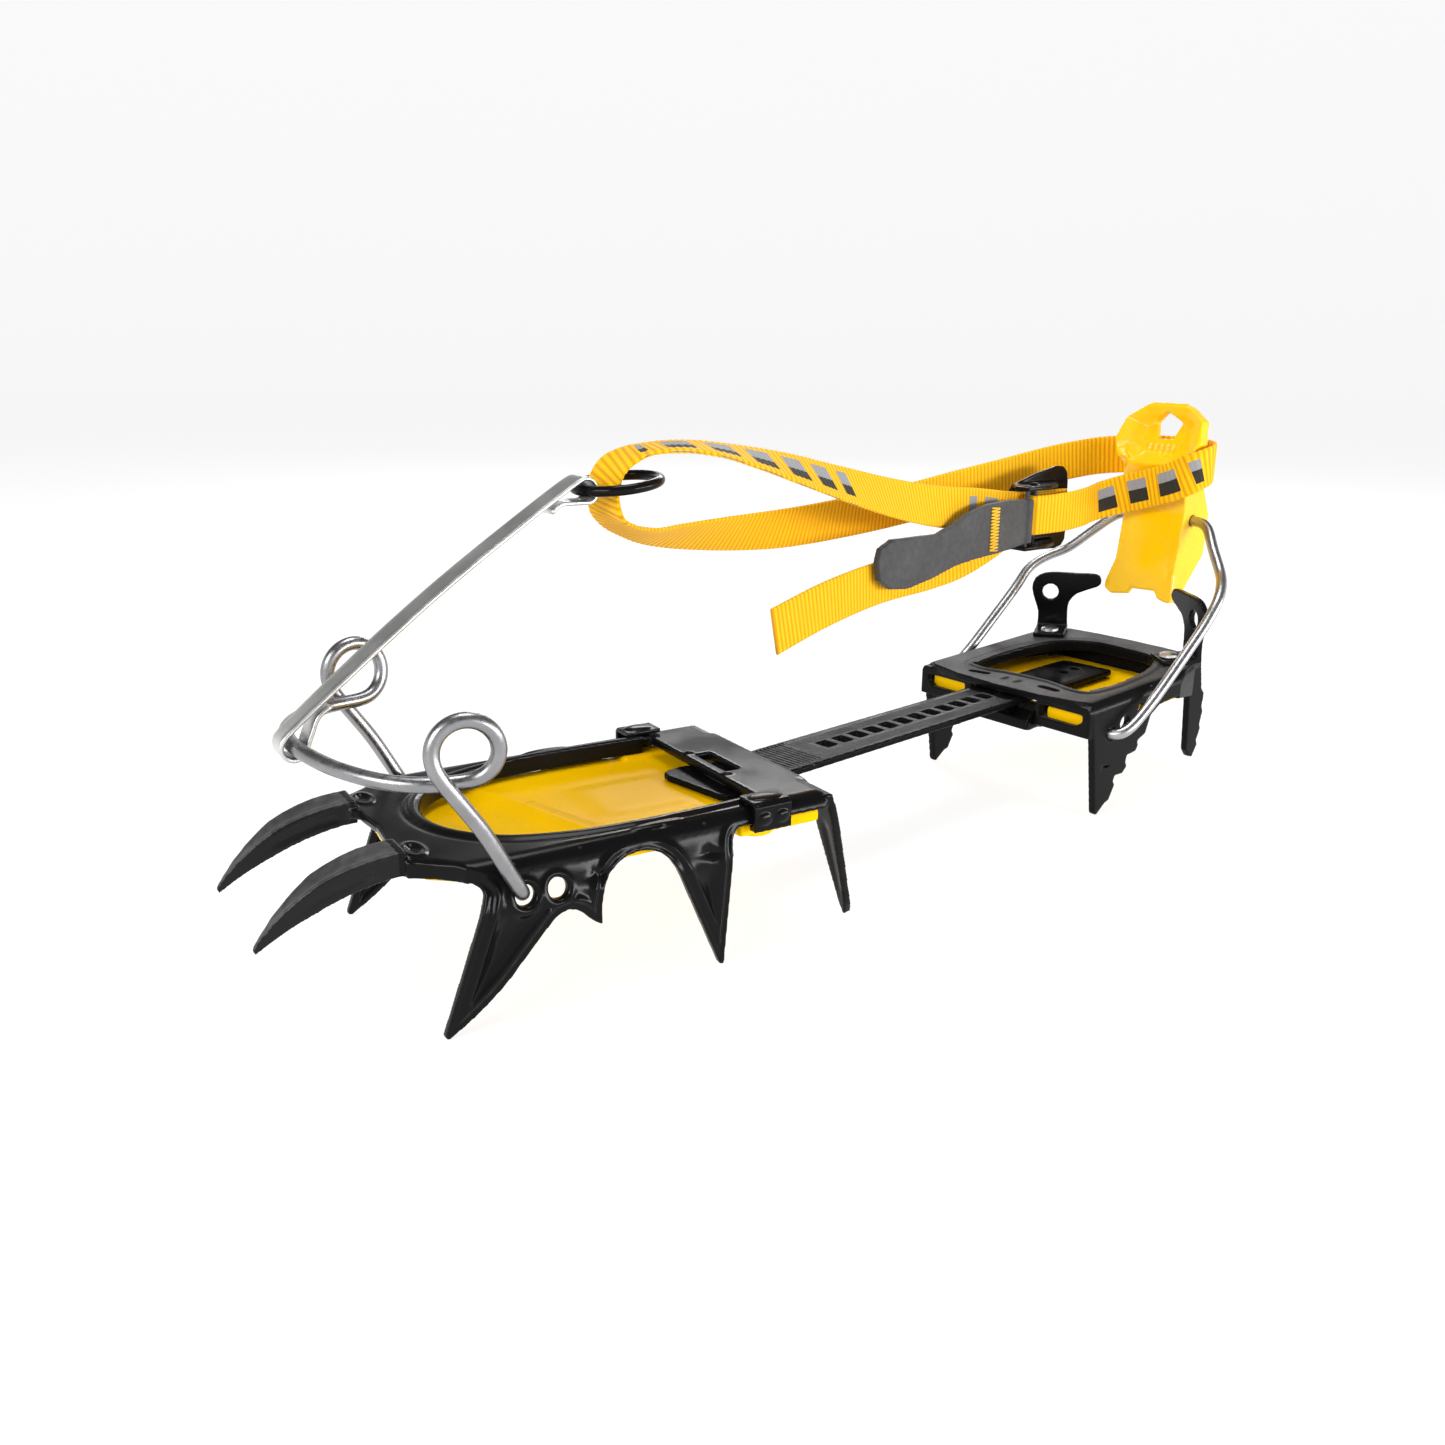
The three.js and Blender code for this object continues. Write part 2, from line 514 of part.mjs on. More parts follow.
// ---- heel bail and lever -------------------------------------------------------------------
function heelBail() {
  const [x, y, z] = HEEL_PIVOT;
  const half = [[x - 5.5, y, z], [x + 0.6, y, z], [x + 2.8, y + 1.4, z + 0.4], [x + 3.8, y + 4, z + 2],
    [x + 3.8, 30, 41], [x + 3.8, 46, 54.2], [x + 3.7, 60, 66.4], [x + 3.2, 66.4, 73.4],
    [x - 1, 74.2, 78.2], [36, 79.4, 80.6], [28, 85.2, 88.8], [21.6, 90.6, 95.4], [19, 91.8, 96.8]];
  return wire([...half, [14, 92, 97], [0, 92, 97], ...mirrorX([...half, [14, 92, 97]]).reverse()],
    WIRE, 84, 4);
}

// The heel lever in its own upright axes, 0 at the bail's crossbar: a channel with a foot below
// and a dished six-sided head with a five-sided hole above.
function heelLever() {
  const front = [[-7.9, -33], [-6.5, -18], [-6.5, 2], [-8.5, 9], [-11.5, 18], [-12.4, 28], [-7.8, 44.4],
    [-4.4, 43.6], [-8.6, 29], [-8, 19], [-4.6, 9], [-3.9, 0], [-3.9, -18], [-5.2, -33]];
  const shape = [[-13, -33], [-5, -32], [-4, -29.6], [7, -29.2], [9, -32], [14.4, -33.4], [15.4, -31],
    [14, -22], [14, 12], [15, 20], [19.4, 29], [17, 38], [7.6, 44.4], [-7.6, 44.4], [-17, 38],
    [-19.4, 29], [-15, 20], [-14, 12], [-14, -18], [-16.6, -28], [-16.4, -31]];
  const five = [0, 1, 2, 3, 4].map((i) => {
    const a = rad(90 + 72 * i);
    return [6.2 * Math.cos(a), 35.2 + 5.8 * Math.sin(a)];
  });
  const wall = cut(slabX(front, -25, 25).intersect(slabY(shape, -20, 20)), slabY(five, -20, 20));
  const rail = [[-6.9, -33], [-1, -33], [12, -13], [10.8, 3], [3.2, 14.5], [1.2, 20], [-5, 29], [-11, 27],
    [-10, 18], [-6.5, 4]];
  const rails = join(slabX(rail, LEVER_HALF - 2.8, LEVER_HALF), slabX(rail, -LEVER_HALF, -LEVER_HALF + 2.8));
  const rim = [[-13.5, 22], [-12.4, 28], [-7.8, 44.4], [-2.4, 43], [-6.6, 29], [-5.5, 20]];
  const collar = cut(slabX(rim, -25, 25).intersect(slabY(shape, -20, 20)),
    slabY([[-13, 24], [-15.4, 29], [-13.6, 36], [-6, 41.2], [6, 41.2], [13.6, 36], [15.4, 29], [13, 24],
      [10, 21.6], [-10, 21.6]], -20, 20));
  return cut(join(wall, rails, collar), rod(2.35, [-20, 0, 0], [20, 0, 0]));
}

// ---- ankle strap ---------------------------------------------------------------------------
const UP = [0, 0, 1];
const strapPiece = (points, perSpan = 3) => band(stationsThrough(points, perSpan), ...WEBBING);
const upright = (points) => points.map((at) => ({ at, across: UP }));

// from the far side, behind the lever, round its outer rail, across its front and to the buckle,
// where the sewn end folds round the buckle's bar
function leverWrap() {
  const [bx, by] = BUCKLE_BAR;
  const fold = WEBBING[1] / 2 + 1.5 + GAP;
  const around = [0, 45, 90, 135, 180].map((a) => [
    bx + fold * Math.cos(rad(a)), by - fold * Math.sin(rad(a)), 101.6]);
  return strapPiece(upright([[-31.5, 72, 118.3], [-27.5, 86, 119.8], [-19, 95.5, 120.6],
    [-6, 99.8, 121], [8, 99.8, 121], [17.6, 95.4, 120.5], [21.4, 87.8, 119.5], [18.8, 81, 117],
    [11, 79, 112.9], [0, 79.4, 109.3], [-10.5, 77.6, 106], [-15.2, 70, 103.6], [-13.6, 58, 102.2],
    [bx + fold, 44, 101.6], [bx + fold, by + 2, 101.6], ...around, [bx - fold, by + 2, 101.6],
    [bx - fold, by + 16, 101.6]]), 3);
}

const NEAR_LEG = [
  { at: [-19.7, 50, 101.8], across: UP }, { at: [-19.8, 36, 101.9], across: UP },
  { at: [-19.2, 20, 103], across: UP }, { at: [-16.6, -1, 105.8], across: [-0.05, 0, 1] },
  { at: [-11.6, -27.4, 109.1], across: [-0.25, 0, 0.95] },
  { at: [-5, -55.3, 114.4], across: [-0.45, 0, 0.9] },
  { at: [4, -90, 122.7], across: [-0.65, 0, 0.75] },
  { at: [9, -114, 129], across: [-0.8, 0, 0.6] },
  { at: [9, -132.5, 133.8], across: [-0.92, 0, 0.38] },
  { at: [7, -146, 136.8], across: [-0.98, 0, 0.2] },
  { at: [4, -157.5, 137.6], across: [-1, 0, 0.08] },
  { at: [1, -166.4, 136.4], across: [-1, 0, 0] },
  { at: [-2, -172, 132.6], across: [-1, 0, 0] },
  { at: [-4.2, -174, 127], across: [-1, 0, 0] },
];
const FAR_LEG = [
  { at: [-5.6, -172.4, 120], across: [-1, 0, 0] },
  { at: [-9, -166.4, 115.2], across: [-1, 0, -0.1] },
  { at: [-13, -156.1, 111.4], across: [-0.97, 0, -0.25] },
  { at: [-17, -143, 108.9], across: [-0.85, 0, -0.5] },
  { at: [-22, -115.2, 106.4], across: [-0.6, 0, -0.8] },
  { at: [-26, -87.9, 105.1], across: [-0.35, 0, -0.93] },
  { at: [-30, -57.9, 105.5], across: [-0.2, 0, -1] },
  { at: [-33, -27, 107.1], across: [-0.1, 0, -1] },
  { at: [-35, 9.1, 110.6], across: [0, 0, -1] },
  { at: [-34.8, 32.2, 113.2], across: [0, 0, -1] },
  { at: [-34, 55.2, 116.2], across: [0, 0, -1] },
  { at: [-31.8, 71, 118.2], across: [0, 0, -1] },
];
const LOOP_SPLIT = 9;            // index in NEAR_LEG where the front loop starts
const LOOP_END = 3;              // index in FAR_LEG where it ends
const STUB = 2;                  // index in NEAR_LEG where the buckle stretch ends

// the strap is one band; its stretches stop a hair short of each other
function stretch(points, from, to) {
  const all = stationsThrough(points, 4);
  return band(all.slice(from * 4 + 1, to * 4), ...WEBBING);
}

function strapTail() {
  return strapPiece([{ at: [-14.8, 17, 99], across: UP }, { at: [-13.2, 4, 94.5], across: UP },
    { at: [-11.8, -14, 89.6], across: UP }, { at: [-10.7, -30, 87.6], across: UP },
    { at: [-6, -60.6, 86.8], across: UP }, { at: [3, -95, 84.6], across: [0, -0.2, 1] },
    { at: [9, -121.5, 80.4], across: [0, -0.28, 0.96] }], 3);
}

// ---- buckle --------------------------------------------------------------------------------
function buckleFrame() {
  const [x, y] = BUCKLE_BAR;
  const base = cut(slabX([[21, 90], [24, 87.6], [40, 85.8], [52, 85.4], [55.8, 86.2], [57.8, 88.6],
    [58, 92], [57, 112], [56.2, 115.6], [53.6, 117.8], [49.6, 118.2], [38, 116.2], [24, 112.6],
    [21, 108]], -22.4, -21), box(-30, -10, 32, 50, 95, 109));
  const upper = slabZ([[-22.4, 24], [-22.4, 50], [-20, 48], [-12, 39], [-9.8, 32], [-9.2, 26], [-9.4, 18.6],
    [-16, 18.6]], 111.4, 112.8);
  const lower = moved(upper, shift(0, 0, -22.6));
  const pins = join(rod(1.9, [x, y, 80], [x, y, 130], 10), rod(1.7, [TAB_PIN[0], TAB_PIN[1], 80],
    [TAB_PIN[0], TAB_PIN[1], 130], 10));
  return cut(join(base, upper, lower), pins);
}

function buckleBar() {
  const [x, y] = BUCKLE_BAR;
  return rod(1.5, [x, y, 88.2], [x, y, 113.6], 10);
}

// the grey tab that the wearer pulls to free the strap
function pullTab() {
  const face = [[-71, 94.6], [-69.6, 99.4], [-63, 101.8], [-50, 101.4], [-37.4, 101], [-28, 103.4],
    [-18.7, 106.6], [-7, 108.6], [8, 108.9], [20, 108], [20, 91.6], [8, 90.4], [-1, 89.8], [-14, 89.4],
    [-26, 88.4], [-40, 85.6], [-54, 83.8], [-64, 85], [-69.6, 88.6]];
  const sheet = slabX(face, -1.3, 1.3);
  const eye = rod(2.6, [0, 20, 91.6], [0, 20, 108], 12);
  const turn = new THREE.Matrix4().makeRotationZ(rad(TAB_TURN));
  const body = cut(join(sheet, eye), rod(1.35, [0, 20, 80], [0, 20, 120], 10));
  return moved(body, shift(TAB_PIN[0], TAB_PIN[1], 0).multiply(turn).multiply(shift(0, -20, 0)));
}

function tabPin() {
  return rod(1, [TAB_PIN[0], TAB_PIN[1], 88.6], [TAB_PIN[0], TAB_PIN[1], 113.2], 10);
}

function tabStitching() {
  const turn = new THREE.Matrix4().makeRotationZ(rad(TAB_TURN));
  const bar = box(1.3 + GAP, 2.1, -5, -1.4, 90.8, 107.4);
  return moved(bar, shift(TAB_PIN[0], TAB_PIN[1], 0).multiply(turn).multiply(shift(0, -20, 0)));
}

// ---- the whole crampon ---------------------------------------------------------------------
frontGroup.position.set(...FRONT_ORIGIN, 0);
frontGroup.rotation.z = rad(FRONT_YAW);
frontGroup.updateMatrixWorld(true);
barGroup.rotation.z = rad(BAR_YAW);
rearGroup.applyMatrix4(PITCH);
leverGroup.position.set(0, BAIL_TOP[1], BAIL_TOP[2]);
leverGroup.rotation.x = -rad(LEVER_LEAN);

place('front_frame', frontFrame(), BLACK_STEEL, frontGroup);
place('front_antibott', frontAntibott(), YELLOW_PLASTIC, frontGroup);
place('antibott_clip_outer', antibottClip(), BLACK_PLASTIC, frontGroup);
place('antibott_clip_inner', moved(antibottClip(), MIRROR), BLACK_PLASTIC, frontGroup);
place('toe_bail', toeBail(), GREY_WIRE, frontGroup);
place('ankle_strip', ankleStrip(), GREY_WIRE);
place('strap_ring', strapRing(), BLACK_STEEL);
place('link_bar', linkBar(), BLACK_STEEL, barGroup);
place('rear_frame', rearFrame(), BLACK_STEEL);
place('rear_antibott', rearAntibott(), YELLOW_PLASTIC);
place('adjuster_latch', adjusterLatch(), BLACK_STEEL);
place('latch_pin', latchPin(), GREY_WIRE);
place('heel_post_outer', heelPost(), BLACK_STEEL, rearGroup);
place('heel_post_inner', moved(heelPost(), MIRROR), BLACK_STEEL, rearGroup);
place('post_rivet_outer', heelRivet(), BRIGHT_WIRE, rearGroup);
place('post_rivet_inner', moved(heelRivet(), MIRROR), BRIGHT_WIRE, rearGroup);
place('heel_bail', heelBail(), BRIGHT_WIRE);
place('heel_lever', heelLever(), YELLOW_PLASTIC, leverGroup);
place('strap_lever_wrap', leverWrap(), YELLOW_WEBBING);
place('strap_buckle_run', stretch(NEAR_LEG, 0, STUB), YELLOW_WEBBING);
place('strap_near_leg', stretch(NEAR_LEG, STUB, LOOP_SPLIT), YELLOW_WEBBING);
place('strap_front_loop', stretch([...NEAR_LEG.slice(LOOP_SPLIT), ...FAR_LEG.slice(0, LOOP_END + 1)],
  0, NEAR_LEG.length - LOOP_SPLIT + LOOP_END), YELLOW_WEBBING);
place('strap_far_leg', stretch(FAR_LEG, LOOP_END, FAR_LEG.length - 1), YELLOW_WEBBING);
place('strap_tail', strapTail(), YELLOW_WEBBING);
place('buckle_frame', buckleFrame(), BLACK_STEEL);
place('buckle_bar', buckleBar(), BLACK_STEEL);
place('buckle_tab_pin', tabPin(), BLACK_STEEL);
place('pull_tab', pullTab(), GREY_RUBBER);
place('pull_tab_stitching', tabStitching(), YELLOW_WEBBING);

// stand the crampon on the ground with the origin under the middle of its bounding box
model.updateMatrixWorld(true);
const bounds = new THREE.Box3().setFromObject(model, true);
const middle = bounds.getCenter(new THREE.Vector3());
const part = new THREE.Group();
model.position.set(-middle.x, -middle.y, -bounds.min.z);
part.add(model);

export default part;
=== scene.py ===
"""The looks of a strap-on crampon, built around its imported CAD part.

Shapes are given in millimetres in the part's own design axes and turned into metres in the row frame by at().
"""
import math

import bmesh
import bpy
import numpy as np
from mathutils import Matrix, Vector


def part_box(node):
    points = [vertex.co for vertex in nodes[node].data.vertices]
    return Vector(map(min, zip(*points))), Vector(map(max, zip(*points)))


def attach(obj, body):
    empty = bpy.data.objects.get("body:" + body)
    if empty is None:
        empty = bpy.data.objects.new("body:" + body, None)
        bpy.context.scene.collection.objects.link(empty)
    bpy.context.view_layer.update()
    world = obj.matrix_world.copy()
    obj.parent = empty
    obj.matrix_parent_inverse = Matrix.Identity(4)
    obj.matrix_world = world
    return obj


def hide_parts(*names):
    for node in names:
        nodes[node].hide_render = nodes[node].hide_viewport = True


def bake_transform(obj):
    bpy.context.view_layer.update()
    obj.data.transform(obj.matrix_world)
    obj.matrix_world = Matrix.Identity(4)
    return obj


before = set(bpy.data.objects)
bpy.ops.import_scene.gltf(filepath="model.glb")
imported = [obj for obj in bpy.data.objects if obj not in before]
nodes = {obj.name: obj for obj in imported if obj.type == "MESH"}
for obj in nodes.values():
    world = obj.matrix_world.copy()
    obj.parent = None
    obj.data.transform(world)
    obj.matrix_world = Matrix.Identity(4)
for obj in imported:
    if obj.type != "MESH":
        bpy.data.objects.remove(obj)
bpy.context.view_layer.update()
scene = bpy.context.scene
MM = 0.001
rad = math.radians

# ---- the design's own axes -----------------------------------------------------------------
LATCH_PIN = Vector((0.1, 8, 32.4))     # the middle of the latch pin in design axes
pin_low, pin_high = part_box("latch_pin")
SHIFT = (pin_low + pin_high) / 2 - LATCH_PIN * MM


def at(x, y, z):
    return Vector((x, y, z)) * MM + SHIFT


FRONT_TOP = 43.2
FRONT_YAW = -6.965  # degrees, the front frame stands turned on the bar
FRONT = Matrix.Translation(at(26.48, -1.48, 0)) @ Matrix.Rotation(rad(FRONT_YAW), 4, "Z")
BAR = Matrix.Translation(at(0, 0, 0)) @ Matrix.Rotation(rad(4.9), 4, "Z")
REAR = Matrix.Translation(at(0, 0, 43.2)) @ Matrix.Rotation(rad(3.4), 4, "X")
LEVER = Matrix.Translation(at(0, 92, 97)) @ Matrix.Rotation(rad(-7.6), 4, "X")
DESIGN = Matrix.Translation(SHIFT)

# ---- camera and light ----------------------------------------------------------------------
camera = bpy.data.objects.new("camera", bpy.data.cameras.new("camera"))
scene.collection.objects.link(camera)
scene.camera = camera
camera.data.sensor_width = 36
camera.data.lens = 32.77
camera.data.clip_start = 0.01
AZIMUTH, DOWN, ROLL = rad(51.553), rad(16.835), rad(0.363)
camera.rotation_euler = (
    Matrix.Rotation(AZIMUTH, 3, "Z") @ Matrix.Rotation(math.pi / 2 - DOWN, 3, "X")
    @ Matrix.Rotation(ROLL, 3, "Z")).to_euler()
camera.location = (0.30699, -0.28595, 0.1705)


def softbox(name, size, power, place, target):
    lamp = bpy.data.objects.new(name, bpy.data.lights.new(name, "AREA"))
    scene.collection.objects.link(lamp)
    lamp.data.shape = "RECTANGLE"
    lamp.data.size, lamp.data.size_y = size
    lamp.data.energy = power
    lamp.location = place
    lamp.rotation_euler = (Vector(target) - Vector(place)).to_track_quat("-Z", "Y").to_euler()


MIDDLE = (0, 0, 0.05)
softbox("overhead", (0.5, 0.5), 6.0, (-0.1, 0.1, 1.15), MIDDLE)
softbox("side_panel", (1.1, 0.17), 11, (1.0, 0.58, 0.19), MIDDLE)
softbox("front_fill", (0.7, 0.4), 9.5, (0.25, -1.1, 0.6), MIDDLE)
softbox("back_rim", (0.6, 0.16), 3.4, (-0.8, 0.75, 0.6), MIDDLE)

world = bpy.data.worlds.new("studio")
scene.world = world
world.use_nodes = True
world.node_tree.nodes["Background"].inputs["Color"].default_value = (1, 1, 1, 1)
world.node_tree.nodes["Background"].inputs["Strength"].default_value = 0.16
scene.view_settings.view_transform = "Standard"


# ---- materials -----------------------------------------------------------------------------
class Look:
    """A Principled material and short ways to feed its sockets from textures."""

    def __init__(self, name, color, roughness, **sockets):
        self.material = bpy.data.materials.new(name)
        self.material.use_nodes = True
        self.tree = self.material.node_tree
        self.shader = self.tree.nodes["Principled BSDF"]
        self.set("Base Color", (*color, 1))
        self.set("Roughness", roughness)
        for socket, value in sockets.items():
            self.set(socket.replace("_", " "), value)

    def set(self, socket, value):
        self.shader.inputs[socket].default_value = value

    def feed(self, socket, output):
        self.tree.links.new(output, self.shader.inputs[socket])

    def node(self, kind, links=(), **settings):
        made = self.tree.nodes.new("ShaderNode" + kind)
        for key, value in settings.items():
            setattr(made, key, value)
        for key, value in dict(links).items():
            if isinstance(value, bpy.types.NodeSocket):
                self.tree.links.new(value, made.inputs[key])
            else:
                made.inputs[key].default_value = value
        return made

    def place(self):
        return self.node("TexCoord").outputs["Object"]

    def noise(self, scale, detail=2.0, stretch=None, distortion=0.0):
        where = self.place()
        if stretch:
            where = self.node("Mapping", {"Vector": where, "Scale": stretch}).outputs["Vector"]
        return self.node("TexNoise", {"Vector": where, "Scale": scale, "Detail": detail,
                                      "Distortion": distortion}).outputs["Fac"]

    def math(self, operation, a, b=0.0, c=0.0):
        return self.node("Math", {0: a, 1: b, 2: c}, operation=operation).outputs[0]

    def spread(self, value, low, high, to_low=0.0, to_high=1.0):
        return self.node("MapRange", {"Value": value, "From Min": low, "From Max": high,
                                      "To Min": to_low, "To Max": to_high}).outputs["Result"]

    def mix(self, share, a, b):
        made = self.node("Mix", data_type="RGBA")
        for key, value in ((0, share), (6, a), (7, b)):
            if isinstance(value, bpy.types.NodeSocket):
                self.tree.links.new(value, made.inputs[key])
            else:
                made.inputs[key].default_value = value if key == 0 else (*value, 1)
        return made.outputs[2]

    def bump(self, height, depth_mm, strength=1.0, under=None):
        links = {"Height": height, "Distance": depth_mm * MM, "Strength": strength}
        if under:
            links["Normal"] = under
        return self.node("Bump", links).outputs["Normal"]


def painted_steel(name, dark, light, rough, gloss, top=None, steep=0.86):
    """Black baked paint over pressed steel: a faint orange peel, cloudy gloss and rubbed edges.
    A top colour, where one is given, paints the faces turned up lighter: partly a painted sheen of the
    overhead light, partly paint that the boot rubs satin."""
    look = Look(name, dark, rough, Specular_IOR_Level=gloss)
    edge = look.spread(look.node("NewGeometry").outputs["Pointiness"], 0.54, 0.64)
    rubbed = look.math("MULTIPLY", edge, look.spread(look.noise(260, 4), 0.42, 0.62))
    color = look.mix(rubbed, dark, light)
    cloud = look.spread(look.noise(55, 3), 0.35, 0.65, rough - 0.06, rough + 0.07)
    dull = look.math("ADD", cloud, look.math("MULTIPLY", rubbed, 0.12))
    if top:
        # painted sheen: faces turned up take the lighter top colour for the overhead light they reflect,
        # mixed with rubbed wear
        facing = look.node("SeparateXYZ", {"Vector": look.node("NewGeometry").outputs["Normal"]})
        top_sheen_and_wear = look.spread(facing.outputs["Z"], steep, steep + 0.11)
        color = look.mix(top_sheen_and_wear, color, look.mix(look.spread(look.noise(420, 5), 0.3, 0.7), top[0], top[1]))
        dull = look.math("ADD", dull, look.math("MULTIPLY", top_sheen_and_wear, 0.2))
    look.feed("Base Color", color)
    look.feed("Roughness", dull)
    peel = look.bump(look.noise(700, 2), 0.05, 0.35)
    look.feed("Normal", look.bump(look.noise(4200, 2), 0.02, 0.4, peel))
    return look.material


def drawn_wire(name, color, rough, streak):
    """Cold-drawn steel wire: fine scratches and cloudy gloss."""
    look = Look(name, color, rough, Metallic=1.0)
    cloud = look.noise(120, 4)
    look.feed("Base Color", look.mix(look.spread(cloud, 0.3, 0.7), [c * 0.78 for c in color], color))
    look.feed("Roughness", look.spread(look.noise(900, 3), 0.3, 0.7, rough - 0.05, rough + 0.1))
    look.feed("Normal", look.bump(look.noise(2600, 3, stretch=(1, streak, 1)), 0.008, 0.4))
    return look.material


def moulded_plastic(name, color, deep, rough, gloss=0.3):
    look = Look(name, color, rough, Specular_IOR_Level=gloss)
    base = look.mix(look.spread(look.noise(35, 3), 0.3, 0.75), color, deep)
    # painted shade: concave places are coloured a deeper orange, standing in for shade in the recesses
    painted_crevice_shade = look.spread(look.node("NewGeometry").outputs["Pointiness"], 0.49, 0.43)
    look.feed("Base Color", look.mix(painted_crevice_shade, base, (deep[0] * 0.95, deep[1] * 0.62, deep[2])))
    look.feed("Roughness", look.spread(look.noise(300, 4), 0.3, 0.7, rough - 0.05, rough + 0.07))
    soft = look.bump(look.noise(160, 2), 0.12, 0.25)
    look.feed("Normal", look.bump(look.noise(3200, 2), 0.015, 0.6, soft))
    return look.material


def rubber(name, color):
    look = Look(name, color, 0.72, Sheen_Weight=0.15, Sheen_Roughness=0.5)
    dust = look.spread(look.noise(90, 5), 0.45, 0.7)
    look.feed("Base Color", look.mix(dust, color, [c * 1.35 for c in color]))
    look.feed("Roughness", look.spread(look.noise(500, 3), 0.3, 0.7, 0.62, 0.82))
    look.feed("Normal", look.bump(look.noise(2600, 3), 0.05, 0.7))
    return look.material


black_steel = painted_steel("black_steel", (0.0045, 0.0045, 0.005), (0.07, 0.07, 0.072), 0.19, 0.12)
# satin_steel's top colour is a painted overhead sheen on the rear frame's upward faces, with some rubbed wear
satin_steel = painted_steel("satin_steel", (0.006, 0.006, 0.0065), (0.08, 0.08, 0.082), 0.26, 0.07,
                            ((0.06, 0.06, 0.062), (0.085, 0.085, 0.087)))
bar_steel = painted_steel("bar_steel", (0.0045, 0.0045, 0.005), (0.05, 0.05, 0.052), 0.24, 0.04)
# point_steel's top colour lightens the points' upward faces: a painted sheen and rubbed paint together
point_steel = painted_steel("point_steel", (0.008, 0.008, 0.0085), (0.1, 0.1, 0.102), 0.24, 0.2,
                            ((0.04, 0.04, 0.041), (0.075, 0.075, 0.077)), 0.45)
grey_wire = drawn_wire("grey_wire", (0.34, 0.34, 0.35), 0.3, 0.15)
bright_wire = drawn_wire("bright_wire", (0.46, 0.46, 0.47), 0.32, 0.15)
yellow_plastic = moulded_plastic("yellow_plastic", (1.0, 0.61, 0.0), (1.0, 0.56, 0.0), 0.24, 0.4)
yellow_sheet = moulded_plastic("yellow_sheet", (1.0, 0.6, 0.0), (1.0, 0.54, 0.0), 0.3, 0.03)
grey_rubber = rubber("grey_rubber", (0.034, 0.034, 0.036))
yellow_thread = moulded_plastic("yellow_thread", (0.9, 0.55, 0.03), (0.7, 0.38, 0.02), 0.6)


# ---- mesh tools ----------------------------------------------------------------------------
def link(name, mesh):
    obj = bpy.data.objects.new(name, mesh)
    scene.collection.objects.link(obj)
    return obj


def smooth_faces(mesh):
    mesh.polygons.foreach_set("use_smooth", np.ones(len(mesh.polygons), bool))
    mesh.update()


def read(mesh, what="co"):
    values = np.empty(len(mesh.vertices) * 3, np.float32)
    (mesh.vertices if what == "co" else mesh.vertex_normals).foreach_get(
        "co" if what == "co" else "vector", values)
    return values.reshape(-1, 3).astype(float)


def into(matrix, points):
    """Row frame points in metres to millimetres in a group's own axes."""
    m = np.array(matrix.inverted())
    return (points @ m[:3, :3].T + m[:3, 3]) / MM


def out_of(matrix, points):
    m = np.array(matrix)
    return (np.asarray(points, float) * MM) @ m[:3, :3].T + m[:3, 3]


def reshape(obj, matrix, offset):
    """Moves each vertex by offset(points, normals), all in millimetres in the matrix's axes."""
    mesh = obj.data
    turn = np.array(matrix.to_3x3())
    points = read(mesh)
    local = into(matrix, points)
    normals = read(mesh, "normal") @ turn
    moved = out_of(matrix, local + offset(local, normals))
    mesh.vertices.foreach_set("co", moved.astype(np.float32).ravel())
    mesh.update()


def ramp(value, low, high):
    t = np.clip((value - low) / (high - low), 0, 1)
    return t * t * (3 - 2 * t)


def hill(value, centre, width):
    return np.exp(-((value - centre) / width) ** 2)


def trace(start, *moves, steps=6):
    """A 2-D outline: a move of one point is a line, of two points a quadratic curve."""
    points = [np.array(start, float)]
    for move in moves:
        if len(move) == 1:
            points.append(np.array(move[0], float))
            continue
        a, c, b = points[-1], np.array(move[0], float), np.array(move[1], float)
        for t in np.linspace(0, 1, steps + 1)[1:]:
            points.append(a * (1 - t) ** 2 + 2 * c * t * (1 - t) + b * t * t)
    return np.array(points)


def distance(points, outline):
    """The distance of 2-D points from an outline's lines."""
    best = np.full(len(points), 1e9)
    for a, b in zip(outline[:-1], outline[1:]):
        along = b - a
        t = np.clip(((points - a) @ along) / (along @ along), 0, 1)
        best = np.minimum(best, np.linalg.norm(points - a - t[:, None] * along, axis=1))
    return best


def skin(name, sources, voxel, rounds):
    """One closed skin over copies of CAD nodes and added shapes, its edges rounded as paint does."""
    body = bmesh.new()
    for source in sources:
        body.from_mesh(nodes[source].data if isinstance(source, str) else source)
    raw = bpy.data.meshes.new(name)
    body.to_mesh(raw)
    body.free()
    obj = link(name, raw)
    remesh = obj.modifiers.new("skin", "REMESH")
    remesh.mode = "VOXEL"
    remesh.voxel_size = voxel * MM
    if rounds:
        rounding = obj.modifiers.new("rounding", "SMOOTH")
        rounding.factor = 0.5
        rounding.iterations = rounds
    graph = bpy.context.evaluated_depsgraph_get()
    made = bpy.data.meshes.new_from_object(obj.evaluated_get(graph))
    obj.modifiers.clear()
    obj.data = made
    made.name = name
    made.materials.clear()
    smooth_faces(made)
    return obj


def soften(obj, rounds, factor=0.5):
    """A few rounds of smoothing after the vertices were moved."""
    rounding = obj.modifiers.new("soften", "SMOOTH")
    rounding.factor = factor
    rounding.iterations = rounds
    graph = bpy.context.evaluated_depsgraph_get()
    made = bpy.data.meshes.new_from_object(obj.evaluated_get(graph))
    obj.modifiers.clear()
    obj.data = made
    smooth_faces(made)


def bare(points, faces, matrix):
    """A mesh in the row frame from points in millimetres in a group's axes."""
    mesh = bpy.data.meshes.new("shape")
    mesh.from_pydata([tuple(p) for p in out_of(matrix, points)], [], faces)
    body = bmesh.new()
    body.from_mesh(mesh)
    bmesh.ops.recalc_face_normals(body, faces=body.faces)
    body.to_mesh(mesh)
    body.free()
    return mesh


